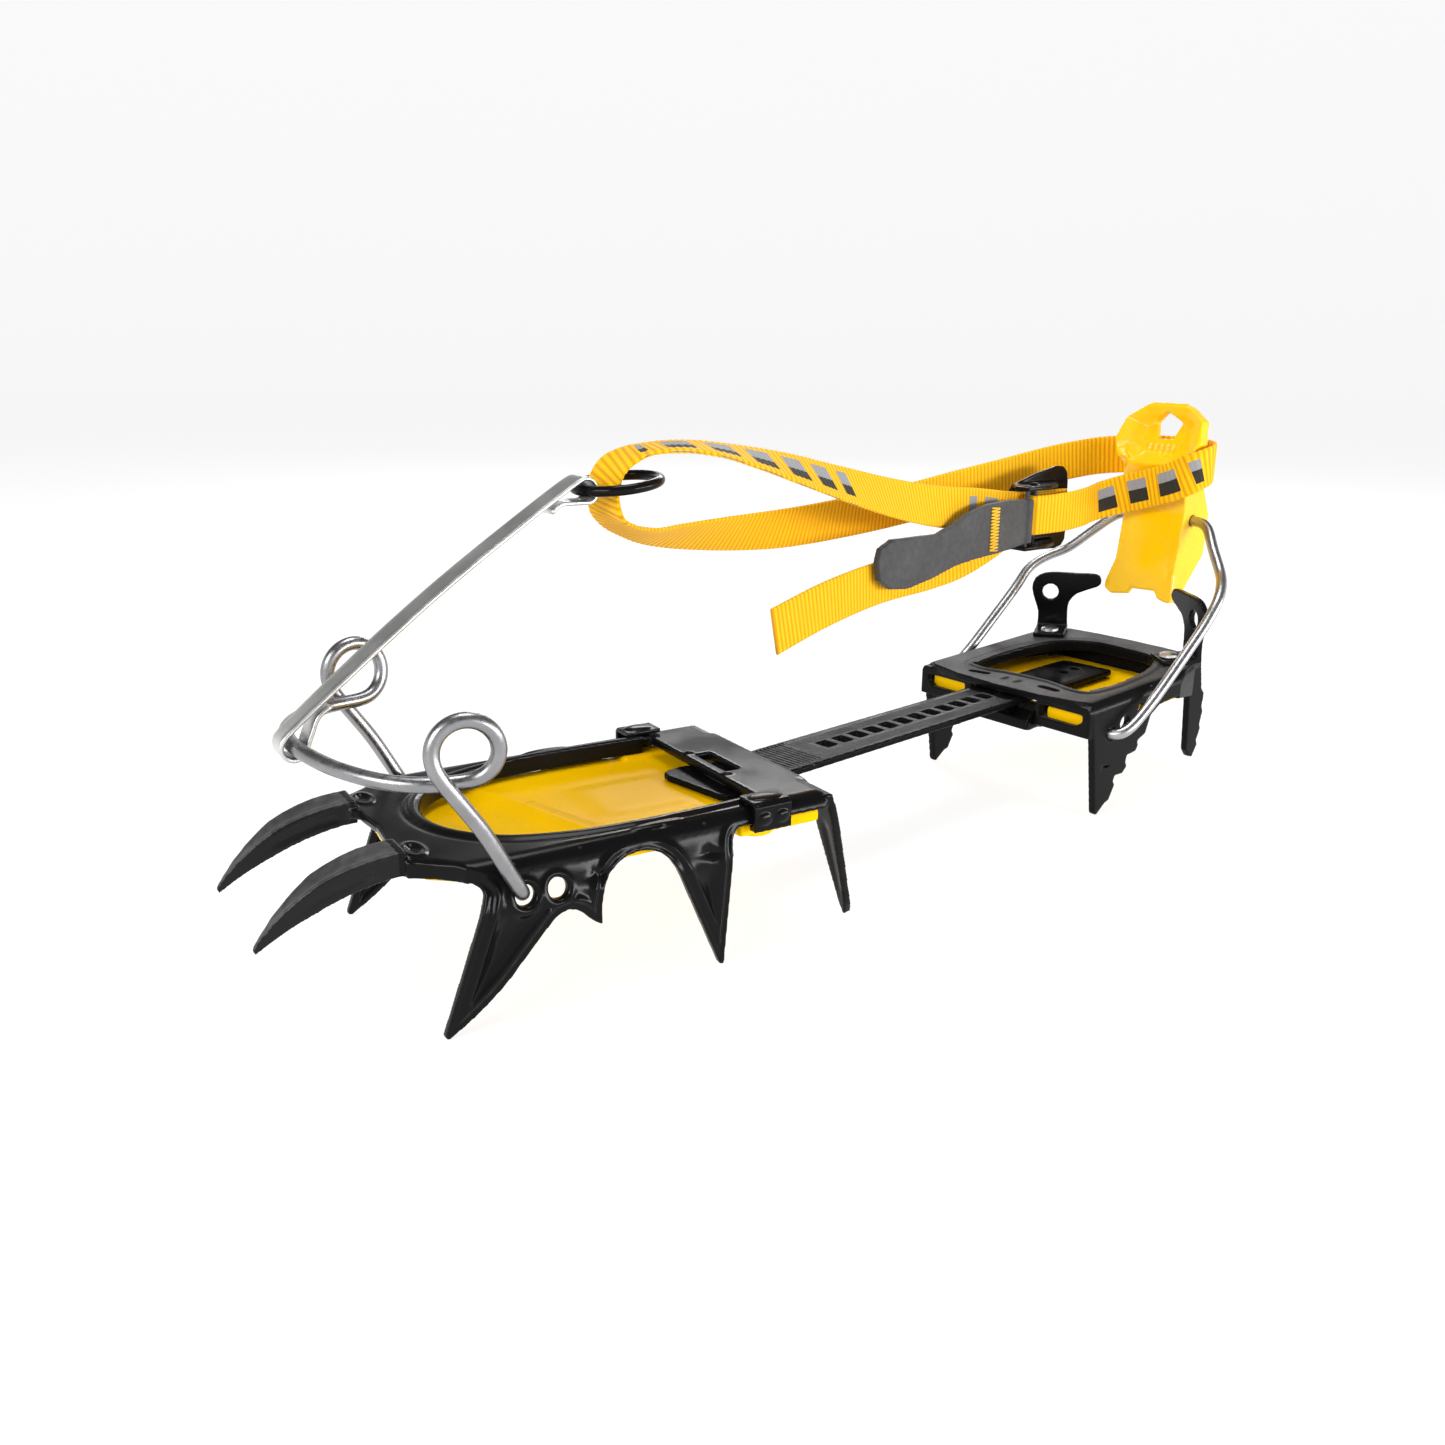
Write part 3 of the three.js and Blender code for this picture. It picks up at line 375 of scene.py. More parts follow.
def prism(outline, low, high, matrix, axes="xyz"):
    """An outline in the first two axes, drawn out along the third from low to high."""
    order = ["xyz".index(a) for a in axes]
    n = len(outline)
    points = np.zeros((2 * n, 3))
    for layer, height in enumerate((low, high)):
        part = points[layer * n:(layer + 1) * n]
        part[:, order[0]] = [p[0] for p in outline]
        part[:, order[1]] = [p[1] for p in outline]
        part[:, order[2]] = height
    sides = [(i, (i + 1) % n, (i + 1) % n + n, i + n) for i in range(n)]
    return bare(points, [tuple(range(n - 1, -1, -1)), tuple(range(n, 2 * n)), *sides], matrix)


def pillow(centre, radii, matrix, rings=10, sides=18):
    """An ellipsoid, to be merged into a skin."""
    points, faces = [], []
    for i in range(rings + 1):
        polar = math.pi * i / rings
        for k in range(sides):
            turn = 2 * math.pi * k / sides
            points.append([centre[0] + radii[0] * math.sin(polar) * math.cos(turn),
                           centre[1] + radii[1] * math.sin(polar) * math.sin(turn),
                           centre[2] + radii[2] * math.cos(polar)])
    for i in range(rings):
        for k in range(sides):
            a, b = i * sides + k, i * sides + (k + 1) % sides
            faces.append((a, b, b + sides, a + sides))
    return bare(points, faces, matrix)


def kerb(outline, width, low, high, matrix):
    """A wall of that width along an open outline, from low to high."""
    outline = np.asarray(outline, float)
    ahead = np.gradient(outline, axis=0)
    ahead /= np.linalg.norm(ahead, axis=1)[:, None]
    aside = np.stack([-ahead[:, 1], ahead[:, 0]], 1) * width / 2
    ring = [*(outline + aside), *(outline - aside)[::-1]]
    return prism(ring, low, high, matrix)


def loft(name, rings, capped=True, looped=False):
    """A closed surface through rings of points, in metres."""
    count, sides, _ = rings.shape
    index = np.arange(count * sides).reshape(count, sides)
    follow = np.roll(index, -1, axis=0) if looped else index[1:]
    here = index if looped else index[:-1]
    quads = np.stack([here, np.roll(here, -1, 1), np.roll(follow, -1, 1), follow], -1).reshape(-1, 4)
    faces = [tuple(int(i) for i in q) for q in quads]
    if capped and not looped:
        faces.append(tuple(int(i) for i in index[0][::-1]))
        faces.append(tuple(int(i) for i in index[-1]))
    mesh = bpy.data.meshes.new(name)
    mesh.from_pydata([tuple(p) for p in rings.reshape(-1, 3)], [], faces)
    smooth_faces(mesh)
    return link(name, mesh)


def smooth_path(points, per_span=12):
    """A centripetal Catmull-Rom curve through points with any number of columns; x, y, z come first."""
    p = np.asarray(points, float)
    p = np.vstack([2 * p[0] - p[1], p, 2 * p[-1] - p[-2]])
    path = []
    for p0, p1, p2, p3 in zip(p[:-3], p[1:-2], p[2:-1], p[3:]):
        d0, d1, d2 = (max(np.linalg.norm((b - a)[:3]), 1e-6) ** 0.5
                      for a, b in ((p0, p1), (p1, p2), (p2, p3)))
        t1 = ((p1 - p0) / d0 - (p2 - p0) / (d0 + d1) + (p2 - p1) / d1) * d1
        t2 = ((p2 - p1) / d1 - (p3 - p1) / (d1 + d2) + (p3 - p2) / d2) * d1
        for t in np.arange(per_span) / per_span:
            path.append(p1 + t1 * t + (3 * (p2 - p1) - 2 * t1 - t2) * t * t
                        + (2 * (p1 - p2) + t1 + t2) * t ** 3)
    path.append(p[-2])
    return np.array(path)


def evenly(path, step):
    """The same path with its points a fixed step apart, and how far along it each one is."""
    run = np.concatenate([[0], np.cumsum(np.linalg.norm(np.diff(path[:, :3], axis=0), axis=1))])
    marks = np.linspace(0, run[-1], max(2, int(round(run[-1] / step)) + 1))
    return np.stack([np.interp(marks, run, path[:, k]) for k in range(path.shape[1])], 1), marks


def unit(vectors):
    return vectors / np.linalg.norm(vectors, axis=-1, keepdims=True)


def tube(name, points, diameter, matrix, step=0.9, sides=18, swell=None, relax=0):
    """A round wire along a smooth path, with slightly rounded ends; relax evens out its bends."""
    path, marks = evenly(smooth_path(points), step)
    for _ in range(relax):
        path[1:-1] = (path[:-2] + 2 * path[1:-1] + path[2:]) / 4
    ahead = unit(np.gradient(path, axis=0))
    across = [np.cross(ahead[0], (0.3, 0.2, 1.0))]
    for direction in ahead[1:]:
        across.append(across[-1] - direction * (across[-1] @ direction))
    across = unit(np.array(across))
    normal = np.cross(ahead, across)
    end = np.minimum(marks, marks[-1] - marks)
    radius = diameter / 2 * (0.72 + 0.28 * ramp(end, 0, diameter * 0.2))
    if swell is not None:
        radius = radius * swell(marks)
    turns = 2 * np.pi * np.arange(sides) / sides
    rings = (path[:, None] + radius[:, None, None] * (
        np.cos(turns)[None, :, None] * across[:, None] + np.sin(turns)[None, :, None] * normal[:, None]))
    return loft(name, out_of(matrix, rings.reshape(-1, 3)).reshape(rings.shape))


SECTION = ((-1, 0.3), (-0.965, 0.78), (-0.88, 1), (-0.5, 1), (0, 1),
           (0.5, 1), (0.88, 1), (0.965, 0.78), (1, 0.3))


def ribbon(name, stations, width, thick, matrix, step, rib_pitch=0.0, rib_depth=0.0, crown=0.0):
    """A flat band through stations (x, y, z, and the direction across), ribbed across its length."""
    path, marks = evenly(smooth_path(stations, 16), step)
    centre, across = path[:, :3], path[:, 3:6]
    ahead = unit(np.gradient(centre, axis=0))
    across = unit(across - ahead * np.sum(across * ahead, axis=1, keepdims=True))
    normal = np.cross(ahead, across)
    wide = width(marks / marks[-1]) if callable(width) else np.full(len(marks), float(width))
    groove = (0.5 - 0.5 * np.cos(2 * np.pi * marks / rib_pitch)) if rib_pitch else np.zeros(len(marks))
    rings, us = [], []
    for side in (1, -1):
        for w, t in SECTION[::side]:
            height = t * (thick / 2 - rib_depth * groove) + crown * (1 - w * w)
            if side < 0:
                height = -t * (thick / 2 - rib_depth * groove) + crown * (1 - w * w)
            rings.append(centre + across * (w * wide / 2)[:, None] + normal * height[:, None])
            us.append((w + 1) / 2 + (0 if side > 0 else 2))
    rings = np.stack(rings, 1)
    obj = loft(name, out_of(matrix, rings.reshape(-1, 3)).reshape(rings.shape))
    uv = obj.data.uv_layers.new(name="UVMap")
    corners = np.empty(len(obj.data.loops), int)
    obj.data.loops.foreach_get("vertex_index", corners)
    sides = len(us)
    values = np.stack([np.array(us)[corners % sides], marks[corners // sides] * MM], 1)
    uv.data.foreach_set("uv", values.astype(np.float32).ravel())
    return obj, path, marks


def finished(obj, body, material, slot, *stands_for):
    obj.data.materials.clear()
    obj.data.materials.append(material)
    if body:
        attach(obj, body)
    if stands_for:
        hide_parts(*stands_for)
    return obj


def mirrored(points):
    return [(-p[0], *p[1:]) for p in points]


# ---- front frame ---------------------------------------------------------------------------
FLANGE_EDGE = trace(
    (-240, 38.6), ((-235, 38.3), (-234.6, 35.5)), ((-247.6, 0.6),), ((-246.6, 0),),
    ((-236, 6), (-229.6, 12.6)), ((-217.5, 25.6),), ((-213, 29.4), (-209, 25.4)),
    ((-206.5, 22.4), (-203.6, 21)), ((-204.2, 27), (-202.6, 31.4)), ((-199, 38), (-191, 38)),
    ((-184, 38), (-181, 31.4)), ((-168, 0.4),), ((-166.8, 0),), ((-163.6, 33),),
    ((-163, 38.6), (-159, 38.6)), ((-127, 38.6),))
WINDOW_HALF = [(31.5, -149), (33.2, -160), (33, -195), (31, -209), (25, -224), (13, -234.5), (0, -237.6)]
WINDOW = smooth_path([(*p, 0) for p in WINDOW_HALF + mirrored(WINDOW_HALF[:-1])[::-1]], 4)[:, :2]
BAIL_HOLES = ((-224.5, 33.5), (-215.6, 33.5))
POINT_X = 21


def press_front(p, n):
    """The pressed beads and dishes of the front frame."""
    move = np.zeros_like(p)
    x, y, z = p.T
    flange = ramp(np.abs(x), 36.6, 37.4) * (1 - ramp(z, 37.0, 40.5)) * (y < -158)
    d = distance(p[:, 1:], FLANGE_EDGE)
    bead = 0.75 * hill(d, 3.0, 0.8) - 0.35 * hill(d, 1.6, 0.6)
    dish = -1.3 * ramp(d, 3.4, 7.0) * (1 - ramp(z, 24, 33))
    around = np.zeros(len(p))
    for hy, hz in BAIL_HOLES:
        r = np.hypot(y - hy, z - hz)
        around = np.maximum(around, 1 - ramp(r, 4.4, 6.2))
        bead = bead + 0.35 * hill(r, 3.9, 0.7)
    bead = bead - around * (0.75 * hill(d, 3.0, 0.8))
    for dy, dz in ((-203.2, 34.4), (-170.6, 33.6)):
        star = np.abs(y - dy) / 3.4 + np.abs(z - dz) / 2.1 + 0.35 * np.abs(y - dy + 1.2 * (z - dz)) / 3
        bead = bead - 1.5 * np.exp(-star ** 1.6)
    flare = 3.0 * (1 - ramp(z, 29.5, 40.5)) * ramp(-y, 159, 163)
    wall = ramp(np.abs(x), 36.6, 37.4) * (1 - ramp(z, 38.5, 41)) * (y < -158)
    move[:, 0] = np.sign(x) * (flange * (bead + dish * (1 - around)) + wall * flare)

    plate = ramp(z, 39.6, 40.4) * (1 - ramp(np.abs(x), 35.4, 36.6)) * (y > -250) * (y < -130)
    dw = distance(p[:, :2], WINDOW)
    rim = 0.55 * hill(dw, 0.4, 1.1) - 0.25 * hill(dw, 2.6, 0.8)
    rim = rim * (y < -151)
    oval = np.hypot((np.abs(x) - 21.5) / 4.6, (y + 245.6) / 2.3)
    rim = rim + 0.45 * hill(oval, 1.0, 0.22) - 0.45 * (1 - ramp(oval, 0.5, 0.9))
    move[:, 2] = plate * rim

    # the forward points: a shallow gutter between two raised edges, and a flat-bottomed belly
    blade = 1 - ramp(y, -257, -251)
    half = np.interp(-y, [248.5, 260, 272, 283, 287.5], [5.4, 5.2, 4.0, 1.6, 0.7])
    c = np.abs(np.abs(x) - POINT_X) / half
    gutter = 0.3 * hill(c, 0.8, 0.16) - 0.6 * (1 - ramp(c, 0.05, 0.75)) * ramp(half, 1.5, 4)
    move[:, 2] += blade * ramp(n[:, 2], 0.25, 0.6) * gutter * np.clip(half / 4, 0, 1)
    cheek = hill(z, np.interp(-y, [249, 260, 271, 281, 287], [41.4, 40.2, 36.6, 30.2, 25.0]), 1.1)
    move[:, 0] -= (0.45 * blade * cheek * np.sign(np.abs(x) - POINT_X) * np.sign(x)
                   * ramp(np.abs(n[:, 0]), 0.6, 0.9) * ramp(half, 2, 4))

    # the bend at the root of the rear points
    bend = ramp(y, -132.5, -127) * ramp(z, 38, 41.5) * ramp(np.abs(x), 24, 30)
    move[:, 2] -= 1.5 * bend

    # the rear points: a shallow flute down the middle of each face
    spike = ramp(y, -128.5, -127) * (1 - ramp(z, 34, 38))
    flute = hill(np.abs(x), 34.8, 1.5) * spike * ramp(z, 3, 14)
    move[:, 1] -= 0.55 * flute * np.sign(n[:, 1]) * ramp(np.abs(n[:, 1]), 0.4, 0.8)
    return move


def smooth_outline(points, per_span=5):
    return smooth_path([(*p, 0) for p in points], per_span)[:, :2]


def front_frame():
    extras = []
    lip = np.array([(37.6, -237.3), (34.6, -239.6), (30.9, -243.2), (28.2, -246.8), (26.6, -249.6)])
    side = [(32.6, -152), (33.4, -165), (33.2, -194), (31.0, -208.6), (24.2, -223.8), (12.4, -233.6)]
    rim = smooth_outline([*side, (0, -236.8), *mirrored(side)[::-1]])
    extras.append(kerb(rim, 2.2, 38.2, FRONT_TOP + 0.1, FRONT))
    for points in (lip, np.array(mirrored(lip))):
        extras.append(kerb(points, 1.7, 38.2, FRONT_TOP - 0.8, FRONT))
    for side in (1, -1):
        extras.append(pillow((side * 11.4, -146.4, FRONT_TOP - 0.6), (1.7, 2.1, 1.3), FRONT))
        extras.append(pillow((side * 36.0, -184, FRONT_TOP - 0.5), (2.6, 9, 0.9), FRONT))
    obj = skin("front_frame_pressed", ["front_frame", *extras], 0.42, 4)
    reshape(obj, FRONT, press_front)
    soften(obj, 3)
    finished(obj, "front_frame", black_steel, "black_steel", "front_frame")
    obj.data.materials.append(point_steel)
    heights = into(FRONT, read(obj.data))[:, 1]
    for face in obj.data.polygons:
        face.material_index = int(heights[face.vertices[0]] < -251)
    return obj


front_frame()


# ---- snow plates ---------------------------------------------------------------------------
def press_front_plate(p, n):
    """The creased pan: a folded ridge across it, a raised middle and a bowl towards the toe."""
    move = np.zeros_like(p)
    x, y, z = p.T
    sheet = ramp(z, 34.4, 35.4)
    inside = (1 - ramp(np.abs(x), 26, 33)) * ramp(y, -241, -234) * (1 - ramp(y, -138, -131))
    fold = 1.2 * np.maximum(0, 1 - np.abs(y + 201 - 0.3 * x) / 6)
    middle = 0.55 * (1 - ramp(np.abs(x + 1), 9, 16)) * (1 - ramp(np.abs(y + 172), 10, 19))
    bowl = -1.3 * np.maximum(0, 1 - (np.abs(y + 218) / 15) ** 2)
    move[:, 2] = sheet * inside * (fold + middle + bowl)
    return move


def front_plate():
    obj = skin("front_snow_plate", ["front_antibott"], 0.6, 3)
    reshape(obj, FRONT, press_front_plate)
    soften(obj, 1)
    return finished(obj, "front_frame", yellow_sheet, "yellow_plastic", "front_antibott")


def rear_plate():
    obj = skin("rear_snow_plate", ["rear_antibott"], 0.55, 3)

    def press(p, n):
        move = np.zeros_like(p)
        inside = (1 - ramp(np.abs(p[:, 0]), 20, 30)) * ramp(p[:, 1], 22, 30) * (1 - ramp(p[:, 1], 56, 63))
        move[:, 2] = -1.0 * inside * ramp(p[:, 2], 34, 35.4)
        return move
    reshape(obj, DESIGN, press)
    return finished(obj, "rear_frame", yellow_sheet, "yellow_plastic", "rear_antibott")


front_plate()
rear_plate()


# ---- clips ---------------------------------------------------------------------------------
def clip(name, side):
    extras = [pillow((side * 42.1, y, 40.2), (1.0, 2.6, 2.0), FRONT) for y in (-147.6, -153.4)]
    extras.append(pillow((side * 37.4, -150.5, 45.0), (3.4, 5.2, 0.8), FRONT))
    obj = skin(name + "_formed", [name, *extras], 0.3, 3)
    return finished(obj, "front_frame", black_steel, "black_steel", name)


clip("antibott_clip_outer", 1)
clip("antibott_clip_inner", -1)


# ---- toe bail ------------------------------------------------------------------------------
WIRE = 4
TOE_PIVOT = (39, -224.5, 33.5)
LOOP_CENTRE = Vector((44, -238.9, 74.3))
LOOP_RADIUS = 8.1
LOOP_TURN = rad(17)
ARCH_FRONT = (0, -268.4, 68.9)


def toe_bail_path():
    ahead = Vector((-math.sin(LOOP_TURN), -math.cos(LOOP_TURN), 0))
    outward = Vector((math.cos(LOOP_TURN), -math.sin(LOOP_TURN), 0))
    loop = []
    for a in range(62, 351, 24):
        share = (a - 62) / 288
        loop.append(tuple(LOOP_CENTRE + ahead * LOOP_RADIUS * math.sin(rad(a))
                          - Vector((0, 0, 1)) * LOOP_RADIUS * math.cos(rad(a)) + outward * (2.5 - 5 * share)))
    x, y, z = TOE_PIVOT
    leg = [(x - 4.2, y, z), (x + 1.2, y, z), (x + 3.4, y - 1, z + 1.4), (x + 4.2, y - 3.4, z + 5.6),
           (x + 5.4, y - 11, z + 20), (x + 5.6, y - 15.9, z + 27.5)]
    arch = [(39.4, -247.4, 66.2), (33.6, -255.6, 66.7), (23, -262.8, 67.7), (11.5, -267, 68.6)]
    half = leg + loop + arch
    return half + [ARCH_FRONT] + mirrored(half)[::-1]


finished(tube("toe_bail_wire", toe_bail_path(), WIRE, FRONT, relax=7), "toe_bail", grey_wire, "grey_wire",
         "toe_bail")


# ---- heel bail -----------------------------------------------------------------------------
def heel_bail_path():
    x, y, z = 41, 12, 30
    half = [(x - 5.5, y, z), (x + 0.6, y, z), (x + 2.8, y + 1.4, z + 0.4), (x + 3.8, y + 4, z + 2),
            (x + 3.8, 30, 41), (x + 3.8, 46, 54.2), (x + 3.7, 60, 66.4), (x + 3.2, 66.4, 73.4),
            (x - 1, 74.2, 78.2), (36, 79.4, 80.6), (28, 85.2, 88.8), (21.6, 90.6, 95.4), (19, 91.8, 96.8),
            (14, 92, 97)]
    return half + [(0, 92, 97)] + mirrored(half)[::-1]


finished(tube("heel_bail_wire", heel_bail_path(), WIRE, DESIGN, relax=18), "heel_bail", bright_wire,
         "bright_wire", "heel_bail")


# ---- ring and ankle strip ------------------------------------------------------------------
RING_CENTRE = (-4.5, -169.4, 127.5)
RING_RADIUS = 12.2
RING_WIRE = 3


def strap_ring():
    turns = 2 * np.pi * np.arange(72) / 72
    small = 2 * np.pi * np.arange(20) / 20
    radial = np.stack([np.cos(turns), np.sin(turns), 0 * turns], 1)
    rings = (radial[:, None] * (RING_RADIUS + RING_WIRE / 2 * np.cos(small)[None, :, None])
             + np.array((0, 0, 1.0)) * (RING_WIRE / 2 * np.sin(small))[None, :, None])
    matrix = DESIGN @ Matrix.Translation(Vector(RING_CENTRE) * MM) @ Matrix.Rotation(rad(6), 4, "X")
    obj = loft("strap_ring_round", out_of(matrix, rings.reshape(-1, 3)).reshape(rings.shape), looped=True)
    finished(obj, "strap_ring", black_steel, "black_steel", "strap_ring")


strap_ring()

STRIP_WIDTH, STRIP_THICK, GAP = 8, 1.2, 0.35


def wrap_end(centre, wire, ahead, up, tail, slack):
    """A strip end round a wire: from above, round the far side and back under itself."""
    r = wire / 2 + slack + STRIP_THICK / 2
    points = [centre + ahead * r * math.sin(rad(a)) + up * r * math.cos(rad(a)) for a in range(0, 181, 30)]
    last = points[-1]
    for step in (0.35, 0.7, 1):
        points.append(last - ahead * tail * step + up * (r * 2 - STRIP_THICK - GAP) * min(1, step * 1.4))
    return points


def brushed_steel():
    """Spring steel strip, brushed along its length, with faint scratches."""
    look = Look("brushed_strip", (0.44, 0.44, 0.43), 0.38, Metallic=1.0)
    uv = look.node("UVMap").outputs["UV"]
    lines = look.node("Mapping", {"Vector": uv, "Scale": (60, 220, 1)}).outputs["Vector"]
    brush = look.node("TexNoise", {"Vector": lines, "Scale": 1.0, "Detail": 3.0}).outputs["Fac"]
    blotch = look.spread(look.noise(70, 5), 0.35, 0.7)
    look.feed("Base Color", look.mix(blotch, (0.58, 0.58, 0.57), (0.80, 0.80, 0.79)))
    look.feed("Roughness", look.spread(brush, 0.3, 0.7, 0.3, 0.5))
    look.feed("Normal", look.bump(brush, 0.03, 0.5))
    return look.material


def ankle_strip():
    front = FRONT @ (Vector(ARCH_FRONT) * MM)
    front = (front - SHIFT) / MM
    ring_edge = Vector((-4.9, RING_CENTRE[1] - RING_RADIUS, RING_CENTRE[2] - 1.2))
    along = (ring_edge - front).normalized()
    up = Vector((1, 0, 0)).cross(along).normalized()
    low = wrap_end(front, WIRE, -along, up, 13, 0.9)
    high = wrap_end(ring_edge, RING_WIRE, along, up, 12, 1.4)
    span = [low[0].lerp(high[0], t) + up * 2.2 * math.sin(math.pi * t) for t in (0.25, 0.5, 0.75)]
    turned = (math.cos(rad(FRONT_YAW)), math.sin(rad(FRONT_YAW)), 0)
    stations = [(*p, *turned) for p in low[::-1]] + [(*p, 1, 0, 0) for p in span + high]
    obj, _, _ = ribbon("ankle_strip_band", stations, STRIP_WIDTH, STRIP_THICK, DESIGN, 0.8)
    finished(obj, "ankle_strip", brushed_steel(), "grey_wire", "ankle_strip")


ankle_strip()


# ---- link bar and latch --------------------------------------------------------------------
BAR_HALF = 11.5
HOLE_ROWS = [-98 + 7.8 * i for i in range(13)]


def press_bar(p, n):
    """Drawn rims round the adjusting holes, beaded edges and a knurled patch by the front frame."""
    move = np.zeros_like(p)
    x, y, _ = p.T
    body = (y > -137) * (1 - ramp(y, 56, 58))
    edge = 0.22 * hill(np.abs(x), BAR_HALF - 1.4, 0.7) * body
    rims = np.zeros(len(p))
    for row in HOLE_ROWS:
        reach = np.maximum(np.abs(x) - 2.1, np.abs(y - row) - 1.6)
        rims += 0.2 * hill(reach, 1.5, 0.5) - 0.6 * hill(reach, 0.0, 0.6)
    knurl = 0.16 * np.sin(2 * np.pi * y / 1.7) * ramp(y, -128, -126) * (1 - ramp(y, -110, -107))
    move[:, 2] = np.where(n[:, 2] > 0.3, edge + rims * 0.8 + knurl * (np.abs(x) < 10), 0)
    return move


def link_bar():
    obj = skin("link_bar_pressed", ["link_bar"], 0.42, 2)
    reshape(obj, BAR, press_bar)
    finished(obj, "link_bar", bar_steel, "black_steel", "link_bar")


link_bar()
finished(skin("adjuster_latch_pressed", ["adjuster_latch"], 0.4, 3), "adjuster_latch", black_steel,
         "black_steel", "adjuster_latch")


# ---- rear frame ----------------------------------------------------------------------------
REAR_WINDOW = smooth_path([(x, y, 0) for x, y in (
    (-23, 9.6), (-16, 8.6), (-8, 10.6), (12, 12), (25, 9.8), (30, 11), (32, 20), (31.6, 36), (28.6, 52),
    (20.6, 65), (6, 68), (-9.4, 67.4), (-21.6, 57.6), (-25.4, 40), (-25.6, 22), (-24.6, 11.6),
    (-23, 9.6))], 3)[:, :2]
PLATE_SLOTS = (((-17.5, 2.2), (-11, 3.6)), ((14, 4.6), (21, 4.4)))


def press_rear(p, n):
    """A lip round the window and the plain slots in the front band."""
    move = np.zeros_like(p)
    z = p[:, 2]
    top = ramp(n[:, 2], 0.4, 0.8) * ramp(z, -1.2, -0.6)
    dw = distance(p[:, :2], REAR_WINDOW)
    rim = 0.4 * hill(dw, 0.9, 0.9) - 0.3 * hill(dw, 2.8, 0.7)
    for a, b in PLATE_SLOTS:
        rim = rim - 1.1 * (1 - ramp(distance(p[:, :2], np.array([a, b], float)), 0.7, 1.3))
    move[:, 2] = top * rim
    return move


def rear_frame():
    side = [(30.2, 12), (32.0, 20), (31.6, 36), (28.6, 51.6), (20.6, 64.8), (6, 67.4), (-9.4, 67),
            (-21.6, 57.4), (-25.0, 40), (-25.2, 22), (-23.6, 11.5)]
    extras = [kerb(smooth_outline(side), 2.0, -4.2, -0.1, REAR)]
    for x in (-2.5, 3.5):
        extras.append(pillow((x, 3.4, -0.2), (1.5, 2.6, 0.9), REAR))
    obj = skin("rear_frame_pressed", ["rear_frame", *extras], 0.45, 2)
    reshape(obj, REAR, press_rear)
    soften(obj, 1)
    finished(obj, "rear_frame", satin_steel, "black_steel", "rear_frame")


rear_frame()
for node in ("heel_post_outer", "heel_post_inner"):
    finished(skin(node + "_pressed", [node], 0.33, 3), "rear_frame", black_steel, "black_steel", node)


# ---- heel lever ----------------------------------------------------------------------------
def press_lever(p, n):
    """The deep six-sided bowl of the head inside its raised rim, the lip over the strap, the full belly."""
    move = np.zeros_like(p)
    x, y, z = np.abs(p[:, 0]), p[:, 1], p[:, 2] - 31.6
    six = np.maximum(np.maximum(x / 15.6, np.abs(z) / 10), (x * 0.62 + np.abs(z)) / 15.6)
    head = ramp(p[:, 2], 17, 21)
    bowl = 3.6 * (1 - ramp(six, 0.5, 0.98)) - 1.5 * hill(six, 1.14, 0.14) + 1.7 * ramp(six, 1.26, 1.5)
    ribs = 0.3 * np.sin(2 * np.pi * p[:, 0] / 2.6) * (1 - ramp(six, 0.5, 0.8)) * (1 - ramp(z, -4, -1))
    lip = -1.3 * hill(p[:, 2], 18.6, 2.4) * (1 - ramp(x, 11, 14))
    belly = -1.5 * np.clip(1 - (x / 11.5) ** 2, 0, 1) * hill(p[:, 2], -21, 8)
    front = 1 - ramp(y, -2.5, -0.5)
    move[:, 1] = front * (head * (bowl + ribs) + lip + belly)
    return move


def heel_lever():
    obj = skin("heel_lever_moulded", ["heel_lever"], 0.42, 5)
    reshape(obj, LEVER, press_lever)
    soften(obj, 4)
    finished(obj, "heel_lever", yellow_plastic, "yellow_plastic", "heel_lever")


heel_lever()


# ---- ankle strap ---------------------------------------------------------------------------
STRAP_WIDTH, STRAP_THICK = 15, 1.5
RIB_PITCH, RIB_DEPTH = 2.0, 0.17
UP, DOWNWARD = (0, 0, 1), (0, 0, -1)
BUCKLE_BAR = (-14.6, 28)
NEAR_LEG = [
    (-19.9, 52, 101.8, *UP), (-20, 36, 101.9, *UP), (-19.2, 20, 103, *UP), (-16.6, -1, 105.8, -0.05, 0, 1),
    (-11.6, -27.4, 109.1, -0.25, 0, 0.95), (-5, -55.3, 114.4, -0.45, 0, 0.9), (4, -90, 122.7, -0.65, 0, 0.75),
    (9, -114, 129, -0.8, 0, 0.6), (9, -132.5, 133.8, -0.92, 0, 0.38), (7, -146, 136.8, -0.98, 0, 0.2),
    (4, -157.5, 137.6, -1, 0, 0.08), (1, -166.4, 136.4, -1, 0, 0), (-2, -172, 132.6, -1, 0, 0),
    (-4.2, -174, 127, -1, 0, 0)]
FAR_LEG = [
    (-5.6, -172.4, 120, -1, 0, 0), (-9, -166.4, 115.2, -1, 0, -0.1), (-13, -156.1, 111.4, -0.97, 0, -0.25),
    (-17, -143, 108.9, -0.85, 0, -0.5), (-22, -115.2, 106.4, -0.6, 0, -0.8),
    (-26, -87.9, 105.1, -0.35, 0, -0.93),
    (-30, -57.9, 105.5, -0.2, 0, -1), (-33, -27, 107.1, -0.1, 0, -1), (-35, 9.1, 110.6, *DOWNWARD),
    (-34.8, 32.2, 113.2, *DOWNWARD), (-34, 55.2, 116.2, *DOWNWARD)]
ROUND_LEVER = [
    (-31.5, 72, 118.3), (-27.5, 86, 119.8), (-19, 95.5, 120.6), (-6, 99.8, 121), (8, 99.8, 121),
    (17.6, 95.4, 120.5), (21.4, 87.8, 119.5), (18.8, 81, 117), (11, 79, 112.9), (0, 79.4, 109.3),
    (-10.5, 77.6, 106), (-15.2, 70, 103.6), (-13.6, 58, 102.2)]
